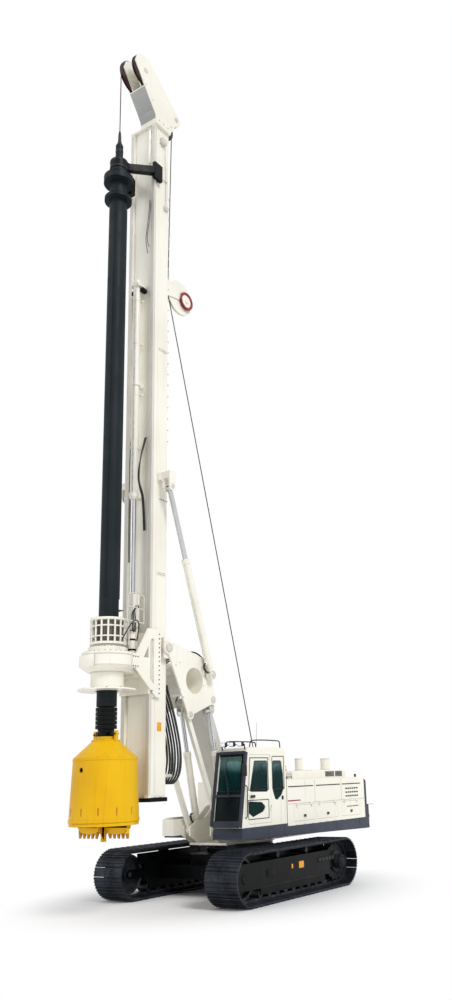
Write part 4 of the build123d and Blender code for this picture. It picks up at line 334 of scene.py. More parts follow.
@dataclass(frozen=True)
class Glass(Finish):
    """Tinted cab glass, clear enough to see the seat."""

    name: str = "teal_glass"
    slot: str = "tinted_glass"
    tint: Colour = (44, 96, 98)
    pale: Colour = (176, 206, 204)
    reflection_from: float = 3.32
    roughness: float = 0.03
    through: float = 0.85

    def make(self) -> bpy.types.Material:
        """Builds the glass: tinted transmission with a faint film of dust, and a pale tint towards the top that is a
        painted reflection.
        """
        graph = Graph(self.name)
        film = graph.ramp(graph.noise(3.0, 4.0), 0.45, 0.85, 0.25)
        # Paler towards the top: a painted reflection on the upper glass.
        rise = graph.maths("ADD", graph.height(), graph.maths("MULTIPLY", graph.noise(2.2, 1.0), 0.3))
        tone = graph.blend(graph.ramp(rise, self.reflection_from, self.reflection_from + 0.35, 0.75), self.tint, self.pale)
        graph.surface(graph.blend(film, tone, (96, 128, 126)), self.roughness)
        graph.shader.inputs["IOR"].default_value = 1.12
        graph.shader.inputs["Transmission Weight"].default_value = self.through
        graph.bump(graph.noise(1.5, 1.0), 0.02, 0.002)
        return graph.material


@dataclass(frozen=True)
class Moulded(Finish):
    """Rubber, plastic, foam or cloth with a grained skin."""

    name: str
    slot: str
    colour: Colour
    shade: Colour
    roughness: float = 0.6
    grain: float = 300.0
    depth: float = 0.0008
    sheen: float = 0.0

    def make(self) -> bpy.types.Material:
        """Builds the skin: a two-tone cloud, a leathery grain and a soft sheen."""
        graph = Graph(self.name)
        tone = graph.blend(graph.ramp(graph.noise(6.0), 0.3, 0.75), self.colour, self.shade)
        tone = graph.blend(graph.maths("MULTIPLY", graph.crevices(0.05), 0.3), tone, (92, 88, 80))
        graph.surface(tone, self.roughness)
        graph.shader.inputs["Sheen Weight"].default_value = self.sheen
        cells = graph.node("ShaderNodeTexVoronoi")
        cells.inputs["Scale"].default_value = self.grain
        graph.link(graph.place, cells.inputs["Vector"])
        graph.bump(cells.outputs["Distance"], 0.3, self.depth)
        return graph.material


@dataclass(frozen=True)
class WireRope(Finish):
    """Greased steel rope whose strands wind along the line."""

    name: str = "greased_rope"
    slot: str = "wire_rope"
    colour: Colour = (74, 74, 76)
    grease: Colour = (34, 33, 34)
    lay: float = 38.0

    def make(self) -> bpy.types.Material:
        """Builds the rope: slanting strand bands with grease between them."""
        graph = Graph(self.name)
        bands = graph.node("ShaderNodeTexWave", wave_type="BANDS", bands_direction="Z")
        bands.inputs["Scale"].default_value = self.lay / 4
        graph.link(graph.stretched((6.0, 6.0, 1.0)), bands.inputs["Vector"])
        graph.surface(graph.blend(bands.outputs["Fac"], self.grease, self.colour), 0.5, metallic=0.5)
        graph.bump(bands.outputs["Fac"], 0.6, 0.004)
        return graph.material


@dataclass(frozen=True)
class Lamp(Finish):
    """Lens of a lamp: clear or coloured plastic with moulded ribs."""

    name: str
    slot: str
    colour: Colour
    glow: float = 0.15

    def make(self) -> bpy.types.Material:
        """Builds the ribbed lens with a slight inner light."""
        graph = Graph(self.name)
        ribs = graph.node("ShaderNodeTexWave", wave_type="BANDS", bands_direction="Z")
        ribs.inputs["Scale"].default_value = 30.0
        graph.link(graph.place, ribs.inputs["Vector"])
        graph.surface(graph.blend(graph.ramp(graph.noise(20.0), 0.3, 0.7, 0.3), self.colour, (250, 250, 250)), 0.15)
        graph.shader.inputs["Emission Color"].default_value = linear(self.colour)
        graph.shader.inputs["Emission Strength"].default_value = self.glow
        graph.bump(ribs.outputs["Fac"], 0.4, 0.003)
        return graph.material


CREAM = Paint("cream_coat", "cream_paint", (242, 239, 227), (235, 231, 217))
CREAM_HOOD = Paint("cream_hood", "cream_paint", (243, 240, 227), (237, 233, 219), worn=0.12, coat=0.4)
# A darker copy of the cream paint: painted shade for every cream part given it, the boom among them.
CREAM_PAINTED_SHADE = Paint("cream_painted_shade", "cream_paint", (214, 211, 201), (200, 197, 188), streaks=0.2)
SLATE = Paint("slate_coat", "slate_paint", (40, 49, 68), (33, 41, 58), (84, 82, 80), worn=0.25, bare=(100, 104, 112),
              coat=0.1, shine=0.3)
KELLY = Paint("kelly_coat", "kelly_paint", (30, 38, 42), (22, 30, 34), (54, 54, 52), streaks=0.2, worn=0.15,
              bare=(72, 78, 82), roughness=0.5, coat=0.0, shine=0.12)
BLACK = Paint("black_paint", "dark_steel", (12, 13, 15), (8, 9, 11), (36, 35, 33), streaks=0.2, worn=0.15,
              bare=(52, 52, 54), roughness=0.45, coat=0.0, shine=0.12)
FRAME_BLACK = Paint("frame_black", "dark_steel", (6, 8, 9), (4, 5, 6), (24, 25, 24), streaks=0.2, worn=0.12,
                    bare=(36, 38, 40), roughness=0.34, coat=0.0, shine=0.12)
YELLOW = Paint("bucket_yellow", "yellow_paint", (228, 180, 4), (216, 162, 2), (140, 92, 16), streaks=0.25,
               worn=0.3, bare=(158, 126, 50), roughness=0.42, coat=0.05, shine=0.2)
OCHRE = Paint("bucket_ochre", "yellow_paint", (186, 132, 18), (160, 108, 14), (120, 82, 26), streaks=0.3, worn=0.5,
              bare=(140, 120, 84), roughness=0.5, coat=0.0, shine=0.3)
RED = Paint("sheave_red", "red_paint", (150, 24, 34), (122, 16, 26), (60, 30, 32), worn=0.3, shine=0.3)
WINE = Paint("rope_wheel_red", "red_paint", (70, 12, 20), (50, 9, 15), (44, 28, 28), worn=0.3, coat=0.1, shine=0.25)
GREY = Paint("cab_grey", "slate_paint", (44, 50, 61), (35, 41, 52), (70, 68, 64), worn=0.15, roughness=0.4, coat=0.1,
             shine=0.25)
BAND = Paint("glass_band", "tinted_glass", (8, 18, 21), (5, 13, 16), (30, 42, 44), streaks=0.05, worn=0.0,
             roughness=0.3, coat=0.0, shine=0.1)
# Grey that paints shade onto the mast head's front face.
HEAD_FACE_SHADE = Paint("head_painted_shade", "cream_paint", (176, 178, 174), (156, 159, 157), worn=0.1, shine=0.3)
PALE = Paint("pale_grey", "cream_paint", (226, 226, 222), (212, 212, 208), worn=0.2)
TRACK = Steel("track_steel", "dark_steel", (26, 29, 35), (70, 77, 88), metallic=0.35, roughness=0.46, dusty=0.08)
DARK = Steel("oiled_steel", "dark_steel", (32, 34, 38), (80, 83, 88), roughness=0.5, metallic=0.4)
BRIGHT = Steel("bright_steel", "chrome", (150, 152, 154), (196, 197, 199), roughness=0.32, metallic=0.85, dusty=0.05)
# Darker steel that paints the shade inside the drive's cage.
CAGE_SHADE = Steel("cage_painted_shade", "dark_steel", (88, 84, 80), (140, 136, 130), roughness=0.55)
CHROME = Chrome()
GLASS = Glass()
ROPE = WireRope()
RUBBER = Moulded("black_rubber", "dark_steel", (18, 18, 20), (28, 28, 30), 0.6, 400.0)
HOSE = Moulded("hose_rubber", "dark_steel", (20, 20, 22), (30, 30, 33), 0.45, 500.0, 0.0004)
TRIM = Moulded("cab_trim", "seat_fabric", (64, 66, 70), (50, 52, 56), 0.65, 350.0)
SEAT = Moulded("seat_cloth", "seat_fabric", (42, 44, 50), (30, 32, 36), 0.85, 700.0, 0.0015, 0.5)
SIGN = Paint("blank_plate", "yellow_paint", (242, 172, 20), (230, 156, 14), worn=0.3, shine=0.3)
CLEAR_LAMP = Lamp("clear_lens", "tinted_glass", (232, 236, 240), 0.3)
RED_LAMP = Lamp("red_lens", "red_paint", (190, 24, 24))
AMBER_LAMP = Lamp("amber_lens", "yellow_paint", (240, 140, 20))


# ------------------------------------------------------------------ mesh making
class Piece:
    """One object under construction: bmesh operators fill it and done() hands it over."""

    def __init__(self, name: str, body: str, finish: Finish) -> None:
        """Starts an empty piece.

        Args:
            name: the object's name.
            body: the body it rides on.
            finish: its material.
        """
        self.name = name
        self.body = body
        self.finish = finish
        self.mesh = bmesh.new()

    def _soften(self, verts: Iterable[bmesh.types.BMVert], bevel: float, sharp: float = 0.6, steps: int = 2) -> None:
        """Bevels the sharp edges among some vertices."""
        if bevel <= 0:
            return
        self.mesh.normal_update()
        edges = dict.fromkeys(edge for vert in verts for edge in vert.link_edges)
        edges = [e for e in edges if len(e.link_faces) == 2 and e.calc_face_angle(0.0) > sharp]
        bmesh.ops.bevel(self.mesh, geom=edges, offset=bevel, offset_type="OFFSET", affect="EDGES",
                        segments=steps, profile=0.5, material=-1, clamp_overlap=True)

    def block(self, middle: Point, size: Point, bevel: float = 0.0, turn: Matrix | None = None) -> None:
        """Adds a box.

        Args:
            middle: its centre.
            size: its three lengths.
            bevel: width of its softened edges.
            turn: a rotation about its centre.
        """
        place = Matrix.Translation(middle) @ (turn or Matrix()).to_4x4() @ Matrix.Diagonal((*size, 1.0))
        made = bmesh.ops.create_cube(self.mesh, size=1.0, matrix=place)
        self._soften(made["verts"], bevel)

    def rod(self, start: Point, end: Point, radius: float, sides: int = 20, tip: float | None = None,
            bevel: float = 0.0) -> None:
        """Adds a round bar or cone from start to end, with the end's own radius as tip."""
        start, end = Vector(start), Vector(end)
        run = end - start
        place = Matrix.Translation((start + end) / 2) @ run.to_track_quat("Z", "Y").to_matrix().to_4x4()
        made = bmesh.ops.create_cone(self.mesh, cap_ends=True, cap_tris=False, segments=sides, radius1=radius,
                                     radius2=radius if tip is None else tip, depth=run.length, matrix=place)
        self._soften(made["verts"], bevel, 1.0)

    def turned(self, profile: Profile, foot: Point, axis: Point, steps: int = 40) -> None:
        """Adds a shape spun about an axis.

        Args:
            profile: (radius, distance along the axis) from one end to the other.
            foot: the point that distances are measured from.
            axis: the direction of the axis.
            steps: the number of facets round it.
        """
        place = Matrix.Translation(foot) @ Vector(axis).to_track_quat("Z", "Y").to_matrix().to_4x4()
        verts = [self.mesh.verts.new((max(r, 0.0), 0.0, z)) for r, z in profile]
        edges = [self.mesh.edges.new(pair) for pair in zip(verts, verts[1:])]
        spun = bmesh.ops.spin(self.mesh, geom=verts + edges, cent=(0, 0, 0), axis=(0, 0, 1),
                              angle=math.tau, steps=steps, use_merge=True, use_duplicate=False)
        linked = self._linked(verts + [v for v in spun["geom_last"] if isinstance(v, bmesh.types.BMVert)])
        bmesh.ops.remove_doubles(self.mesh, verts=linked, dist=1e-5)
        linked = [v for v in linked if v.is_valid]
        bmesh.ops.transform(self.mesh, matrix=place, verts=linked)
        bmesh.ops.recalc_face_normals(self.mesh, faces=self._faces(linked))

    @staticmethod
    def _faces(verts: Iterable[bmesh.types.BMVert]) -> list[bmesh.types.BMFace]:
        """Gives the faces at some vertices, each once and in the same order every run."""
        return list(dict.fromkeys(face for vert in verts for face in vert.link_faces))

    @staticmethod
    def _linked(seeds: Sequence[bmesh.types.BMVert]) -> list[bmesh.types.BMVert]:
        """Gives every vertex joined to some seeds by edges, in the same order every run."""
        found, queue = dict.fromkeys(seeds), list(seeds)
        while queue:
            for edge in queue.pop().link_edges:
                for vert in edge.verts:
                    if vert not in found:
                        found[vert] = None
                        queue.append(vert)
        return list(found)

    def plate(self, outline: Sequence[Point], thickness: Point, bevel: float = 0.0, sharp: float = 0.6) -> None:
        """Adds a flat plate from its outline and the vector that gives its thickness."""
        verts = [self.mesh.verts.new(point) for point in outline]
        face = self.mesh.faces.new(verts)
        made = bmesh.ops.extrude_face_region(self.mesh, geom=[face])["geom"]
        moved = [item for item in made if isinstance(item, bmesh.types.BMVert)]
        bmesh.ops.translate(self.mesh, vec=Vector(thickness), verts=moved)
        everything = verts + moved
        bmesh.ops.recalc_face_normals(self.mesh, faces=self._faces(everything))
        self._soften(everything, bevel, sharp)

    def line(self, points: Sequence[Point], radius: float, smooth: bool = True, sides: int = 3) -> None:
        """Adds a hose, pipe or rail along some points.

        Args:
            points: the points in order; a smooth line bends near them, another turns at them.
            radius: half its thickness.
            smooth: whether it is a hose-like curve.
            sides: resolution of its round section.
        """
        curve = bpy.data.curves.new("line", "CURVE")
        curve.dimensions = "3D"
        spline = curve.splines.new("NURBS" if smooth else "POLY")
        spline.points.add(len(points) - 1)
        for place, point in zip(spline.points, points):
            place.co = (*point, 1.0)
        if smooth:
            spline.order_u = 3
            spline.use_endpoint_u = True
        curve.bevel_depth = radius
        curve.bevel_resolution = sides
        curve.resolution_u = 6
        curve.use_fill_caps = True
        holder = bpy.data.objects.new("line", curve)
        made = bpy.data.meshes.new_from_object(holder)
        self.mesh.from_mesh(made)
        bpy.data.objects.remove(holder)
        bpy.data.meshes.remove(made)
        bpy.data.curves.remove(curve)

    def bolts(self, places: Iterable[Point], axis: Point, radius: float, height: float) -> None:
        """Adds hexagon bolt heads, each on a washer, standing along an axis."""
        out = Vector(axis).normalized()
        for place in places:
            foot = Vector(place)
            self.rod(foot - out * height * 0.3, foot + out * height * 0.25, radius * 1.35, 12)
            self.rod(foot, foot + out * height, radius, 6)

    def done(self, smooth: float = 0.6) -> bpy.types.Object:
        """Makes the object, shades it smooth below an angle, and hands it to its body."""
        mesh = bpy.data.meshes.new(self.name)
        faces = len(self.mesh.faces)
        for face in self.mesh.faces:
            face.smooth = True
        for edge in self.mesh.edges:
            edge.smooth = len(edge.link_faces) == 2 and edge.calc_face_angle(0.0) < smooth
        self.mesh.to_mesh(mesh)
        self.mesh.free()
        made = bpy.data.objects.new(self.name, mesh)
        bpy.context.scene.collection.objects.link(made)
        mesh.materials.append(self.finish.material())
        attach(made, self.body)
        LOG.info("%s on %s, %d faces", self.name, self.body, faces)
        return made


def ring_places(middle: Point, radius: float, count: int, axis: Axis = Axis.Z, start: float = 0.0) -> list[Vector]:
    """Gives evenly spaced places round a circle across a main axis."""
    angles = [start + math.tau * index / count for index in range(count)]
    return [Vector(middle) + axis.spread(radius * math.cos(angle), radius * math.sin(angle)) for angle in angles]


def band(inner: float, outer: float, low: float, high: float, ease: float = 0.0) -> list[tuple[float, float]]:
    """Gives the profile of a raised band for Piece.turned.

    Args:
        inner: the radius where it meets what it lies on.
        outer: the radius of its face.
        low: where it starts along the axis.
        high: where it ends.
        ease: how far its outer corners are drawn in.
    """
    return [(inner, low), (outer, low + ease), (outer, high - ease), (inner, high)]


def eye(inner: float, outer: float, half: float) -> list[tuple[float, float]]:
    """Gives the closed profile of a flat ring, half its thickness to each side of its place."""
    return [*band(inner, outer, -half, half), (inner, -half)]


# ------------------------------------------------------------------ the frame's own nodes
# The boom takes the darker cream copy, which paints shade onto it.
NODE_FINISH: dict[str, Finish] = {
    "boom": CREAM_PAINTED_SHADE, "support_links": CREAM, "tilt_frame": CREAM, "boom_cylinder_barrels": CREAM,
    "mast_cylinder_barrels": CREAM, "mast_column": CREAM, "guide_rails": CREAM, "mast_head": CREAM,
    "pulley_bracket": CREAM, "crowd_cylinder": CREAM, "drive_carriage": CREAM, "gearbox": CREAM,
    "drive_motors": CREAM, "drive_sleeve": CREAM, "cab_shell": CREAM_HOOD, "cab_door": CREAM_HOOD,
    "house_shell": CREAM_HOOD, "left_door_front": CREAM_HOOD, "left_door_middle": CREAM_HOOD,
    "left_door_rear": CREAM_HOOD, "right_door_front": CREAM_HOOD, "right_door_rear": CREAM_HOOD,
    "roof_box": CREAM_HOOD, "main_frame": CREAM, "side_skirts": SLATE, "counterweight": SLATE,
    "winch_frame": SLATE, "right_platform": CREAM, "car_body": FRAME_BLACK, "slew_bearing": DARK,
    "track_frame_left": FRAME_BLACK, "track_frame_right": FRAME_BLACK, "track_rollers": DARK,
    "track_idlers": DARK, "drive_sprockets": DARK, "track_left": TRACK, "track_right": TRACK,
    "mast_foot": BLACK, "exhaust_stacks": CREAM_HOOD, "kelly_guide": BLACK, "winch_drum": DARK,
    "engine_block": DARK, "kelly_outer": KELLY, "kelly_middle": KELLY, "kelly_inner": BLACK,
    "kelly_swivel": KELLY, "bucket_shell": YELLOW, "bucket_gate": YELLOW, "head_sheave_main": WINE,
    "head_sheave_aux": WINE, "head_sheave_back": WINE, "mast_pulley": CREAM, "boom_cylinder_rods": CHROME,
    "mast_cylinder_rods": CHROME, "crowd_rod": CHROME, "hoist_rope": ROPE, "winch_rope": ROPE,
    "cab_glass": GLASS, "cab_door_glass": GLASS, "cab_seat": SEAT,
}


def dress_nodes() -> None:
    """Gives every node of the frame its finish."""
    for name, node in frame["nodes"].items():
        finish = NODE_FINISH[name]
        for place in node.material_slots:
            place.link = "DATA"
            place.material = finish.material()
        if not node.material_slots:
            node.data.materials.append(finish.material())


# ------------------------------------------------------------------ setting
@dataclass
class Setting:
    """Floor, light and camera round the machine."""

    camera_place: tuple[float, float, float] = (20.461, 15.25, 3.08)
    yaw: float = -146.9315
    pitch: float = 15.1395
    roll: float = -1.943
    focal_rows: float = 837.058
    shift: tuple[float, float] = (-0.0608, 0.0500)
    frame_height: int = 1000
    sensor: float = 36.0
    floor_radius: float = 160.0

    def floor(self) -> None:
        """Lays a pale floor that turns to plain white far out."""
        graph = Graph("pale_floor")
        far = graph.node("ShaderNodeVectorMath", operation="LENGTH")
        graph.link(graph.stretched((0.8, 1.0, 1.0)), far.inputs[0])
        fade = graph.ramp(far.outputs["Value"], 2.6, 5.6)
        graph.surface((238, 238, 238), 0.9)
        white = graph.node("ShaderNodeEmission")
        white.inputs["Color"].default_value = (1.0, 1.0, 1.0, 1.0)
        mix = graph.node("ShaderNodeMixShader")
        graph.link(fade, mix.inputs["Fac"])
        graph.link(graph.shader.outputs["BSDF"], mix.inputs[1])
        graph.link(white.outputs["Emission"], mix.inputs[2])
        graph.link(mix.outputs["Shader"], graph.output.inputs["Surface"])
        mesh = bpy.data.meshes.new("floor")
        shape = bmesh.new()
        bmesh.ops.create_circle(shape, cap_ends=True, segments=96, radius=self.floor_radius)
        shape.to_mesh(mesh)
        shape.free()
        mesh.materials.append(graph.material)
        plane = bpy.data.objects.new("floor", mesh)
        bpy.context.scene.collection.objects.link(plane)

    def world(self) -> None:
        """Fills the shade with soft light and puts plain white behind everything."""
        world = bpy.data.worlds.new("studio")
        bpy.context.scene.world = world
        world.use_nodes = True
        tree = world.node_tree
        tree.nodes.clear()
        path = tree.nodes.new("ShaderNodeLightPath")
        seen = tree.nodes.new("ShaderNodeMath")
        seen.operation = "MAXIMUM"
        glossy = tree.nodes.new("ShaderNodeMath")
        glossy.operation = "MAXIMUM"
        tree.links.new(path.outputs["Is Glossy Ray"], glossy.inputs[0])
        tree.links.new(path.outputs["Is Transmission Ray"], glossy.inputs[1])
        tree.links.new(path.outputs["Is Camera Ray"], seen.inputs[0])
        tree.links.new(glossy.outputs["Value"], seen.inputs[1])
        soft = tree.nodes.new("ShaderNodeBackground")
        soft.inputs["Color"].default_value = (0.95, 0.97, 1.0, 1.0)
        soft.inputs["Strength"].default_value = 0.5
        plain = tree.nodes.new("ShaderNodeBackground")
        plain.inputs["Color"].default_value = (1.0, 1.0, 1.0, 1.0)
        mix = tree.nodes.new("ShaderNodeMixShader")
        out = tree.nodes.new("ShaderNodeOutputWorld")
        tree.links.new(seen.outputs["Value"], mix.inputs["Fac"])
        tree.links.new(soft.outputs["Background"], mix.inputs[1])
        tree.links.new(plain.outputs["Background"], mix.inputs[2])
        tree.links.new(mix.outputs["Shader"], out.inputs["Surface"])

    def lamps(self) -> None:
        """Hangs a broad key light to the left of the machine and a weak one ahead of it."""
        for name, turn, strength, spread in (
            ("key", (48, 6, 158), 1.75, 22.0),
            ("front", (62, 0, 68), 0.55, 40.0),
        ):
            light = bpy.data.lights.new(name, "SUN")
            light.energy = strength
            light.angle = math.radians(spread)
            lamp = bpy.data.objects.new(name, light)
            lamp.rotation_euler = [math.radians(value) for value in turn]
            bpy.context.scene.collection.objects.link(lamp)

    def camera(self) -> None:
        """Sets the camera where the machine is seen from its left front, near the ground."""
        pitch, yaw, roll = (math.radians(value) for value in (self.pitch, self.yaw, self.roll))
        ahead = Vector((math.cos(pitch) * math.cos(yaw), math.cos(pitch) * math.sin(yaw), math.sin(pitch)))
        right = Vector((math.sin(yaw), -math.cos(yaw), 0.0))
        up = right.cross(ahead)
        right, up = (right * math.cos(roll) + up * math.sin(roll), up * math.cos(roll) - right * math.sin(roll))
        view = Matrix((right, up, -ahead)).transposed().to_4x4()
        view.translation = at(*self.camera_place)
        data = bpy.data.cameras.new("view")
        data.sensor_fit = "VERTICAL"
        data.sensor_height = self.sensor
        data.lens = self.focal_rows * self.sensor / self.frame_height
        data.shift_x, data.shift_y = self.shift
        data.clip_end = 500.0
        camera = bpy.data.objects.new("view", data)
        camera.matrix_world = view
        bpy.context.scene.collection.objects.link(camera)
        bpy.context.scene.camera = camera

    def build(self) -> None:
        """Makes the whole setting."""
        bpy.context.scene.view_settings.view_transform = "Standard"
        self.floor()
        self.world()
        self.lamps()
        self.camera()


# ------------------------------------------------------------------ undercarriage
@dataclass
class TrackDress:
    """Outer grousers, shoe bolts, links and pins on both tracks."""

    centre: float = 0.44
    span: float = 4.62
    axle: float = 0.665
    outer: float = 0.607
    plate: float = 0.028
    shoes: int = 54
    width: float = 1.0
    left: float = 1.9
    bar: tuple[float, float] = (0.016, 0.026)
    bar_share: float = 0.36
    bolt: float = 0.018
    bolt_across: float = 0.1
    bolt_share: float = 0.17
    bolt_height: float = 0.016
    chain: float = 0.32
    link: tuple[float, float] = (0.012, 0.064)
    link_depth: float = 0.045
    pin: float = 0.026

    def __post_init__(self) -> None:
        """Works out the pitch of the shoes."""
        self.pitch = (2 * self.span + math.tau * self.outer) / self.shoes

    def place(self, distance: float) -> tuple[Vector, Vector]:
        """Gives the point of the chain's outer line at a distance round it, and the way out."""
        bend = math.pi * self.outer
        if distance < self.span:
            return at(self.centre + self.span / 2 - distance, 0, self.axle + self.outer), Vector(UP)
        if self.span + bend <= distance < 2 * self.span + bend:
            along = distance - 1.5 * self.span - bend
            return at(self.centre + along, 0, self.axle - self.outer), Vector((0, 0, -1))
        rear = distance < self.span + bend
        start = self.span if rear else 2 * self.span + bend
        turn = (distance - start) / self.outer
        way = -1 if rear else 1
        out = Vector((way * math.sin(turn), 0, -way * math.cos(turn)))
        return at(self.centre + way * self.span / 2, 0, self.axle) + out * self.outer, out

    def build(self) -> None:
        """Puts two more grousers, four bolts and a pair of links on every shoe."""
        for side in Side:
            shoes = Piece(f"shoe_detail_{side.label}", "undercarriage", TRACK)
            links = Piece(f"links_{side.label}", "undercarriage", DARK)
            for number in range(self.shoes):
                foot, out = self.place((number + 0.5) * self.pitch)
                foot.y = side * self.left
                back = Vector((out.z, 0, -out.x))
                turn = Matrix((back, ACROSS, out)).transposed()
                for shift in Side:
                    bar = foot + back * shift * self.bar_share * self.pitch + out * (self.plate + 0.01)
                    shoes.block(bar, (self.bar[0], self.width, self.bar[1]), 0.004, turn)
                    row = foot + back * shift * self.bolt_share * self.pitch
                    for across in (-self.bolt_across, self.bolt_across):
                        head = row + Vector((0, across, 0)) + out * self.plate
                        shoes.rod(head - out * 0.004, head + out * self.bolt_height, self.bolt, 6)
                self.links(links, foot, out, turn)
            shoes.done()
            links.done()

    def links(self, links: Piece, foot: Vector, out: Vector, turn: Matrix) -> None:
        """Adds the two links of one shoe and the heads of their pins."""
        for edge in Side:
            face = foot - out * self.link_depth + Vector((0, edge * self.chain / 2, 0))
            links.block(face, (0.7 * self.pitch, *self.link), 0.004, turn)
            pin = face + turn @ Vector((self.pitch / 2, 0, 0))
            links.rod(pin, pin + Vector((0, edge * 0.014, 0)), self.pin, 10)


@dataclass
class TrackFrameTrim:
    """Covers, blank plates, hubs and bolts on the outer faces of both track frames."""

    face: float = 2.15
    drive_face: float = 2.24
    drive: tuple[float, float] = (-1.87, 0.665)
    idler: tuple[float, float] = (2.75, 0.665)
    plates: tuple[tuple[float, float, float, float], ...] = ((0.15, 0.77, 0.24, 0.17), (0.60, 0.77, 0.07, 0.11))
    cover: tuple[float, float] = (1.62, 0.70)
    recess_up: float = 0.80

    def build(self) -> None:
        """Makes the trim of each side."""
        for side in Side:
            name = side.label
            out = side.out
            signs = Piece(f"frame_plates_{name}", "undercarriage", SIGN)
            for forward, up, long, tall in self.plates:
                signs.block(at(forward, side * (self.face + 0.003), up), (long, 0.008, tall), 0.003)
            signs.done()
            lip = Piece(f"frame_lip_{name}", "undercarriage", DARK)
            lip.block(at(0.73, side * (self.face + 0.002), 0.404), (4.0, 0.012, 0.012), 0.003)
            lip.done()
            cover = Piece(f"frame_covers_{name}", "undercarriage", BLACK)
            cover.block(at(self.cover[0], side * (self.face + 0.006), self.cover[1]), (0.34, 0.014, 0.2), 0.005)
            cover.block(at(-1.17, side * (self.face + 0.004), self.recess_up), (0.92, 0.012, 0.13), 0.004)
            cover.turned([(0, 0.02), (0.1, 0.02), (0.115, 0.008), (0.12, -0.01)],
                         at(self.idler[0], side * self.face, self.idler[1]), out, 32)
            cover.turned([(0, 0.05), (0.11, 0.05), (0.13, 0.03), (0.185, 0.022), (0.2, 0.01), (0.204, -0.01)],
                         at(self.drive[0], side * self.drive_face, self.drive[1]), out, 40)
            cover.done()
            bolts = Piece(f"frame_bolts_{name}", "undercarriage", DARK)
            hub = at(self.drive[0], side * (self.drive_face + 0.022), self.drive[1])
            bolts.bolts(ring_places(hub, 0.165, 12, Axis.Y), out, 0.013, 0.014)
            hub = at(self.idler[0], side * (self.face + 0.02), self.idler[1])
            bolts.bolts(ring_places(hub, 0.075, 6, Axis.Y), out, 0.012, 0.012)
            corners = [at(self.cover[0] + a, side * (self.face + 0.013), self.cover[1] + b)
                       for a in (-0.14, 0.14) for b in (-0.07, 0.07)]
            bolts.bolts(corners, out, 0.010, 0.010)
            bolts.done()
            guard = Piece(f"chain_guard_{name}", "undercarriage", FRAME_BLACK)
            guard.block(at(0.35, side * 1.72, 1.03), (4.2, 0.02, 0.28), 0.004)
            guard.done()
            pits = Piece(f"frame_recess_{name}", "undercarriage", RUBBER)
            for number in range(5):
                pits.block(at(-1.53 + 0.18 * number, side * (self.face + 0.009), self.recess_up),
                           (0.13, 0.008, 0.085), 0.003)
            pits.done()


@dataclass
class SwingRing:
    """Bolts round the slew bearing and hoses from its middle to the final drives."""

    bolts: int = 48

    def build(self) -> None:
        """Makes the ring of bolts, a seal and four hoses."""
        low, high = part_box("slew_bearing")
        radius = (high[1] - low[1]) / 2
        piece = Piece("swing_bolts", "undercarriage", DARK)
        foot = at(0, 0, low[2] + 0.035)
        for place in ring_places(foot, radius - 0.002, self.bolts):
            out = (place - foot).normalized()
            piece.rod(place, place + out * 0.02, 0.014, 6)
        piece.turned(band(radius + 0.004, radius + 0.012, 0.0, 0.024, 0.006), at(0, 0, (low[2] + high[2]) / 2), UP, 72)
        piece.done()
        hoses = Piece("drive_hoses", "undercarriage", HOSE)
        for side in Side:
            for shift in (0, 0.07):
                hoses.line([at(-0.5, side * 0.45, 0.95 - shift), at(-1.0, side * 0.6, 0.98 - shift),
                            at(-1.35, side * 1.0, 0.9 - shift), at(-1.6, side * 1.45, 0.8 - shift),
                            at(-1.75, side * 1.66, 0.72 - shift)], 0.022)
        hoses.done()


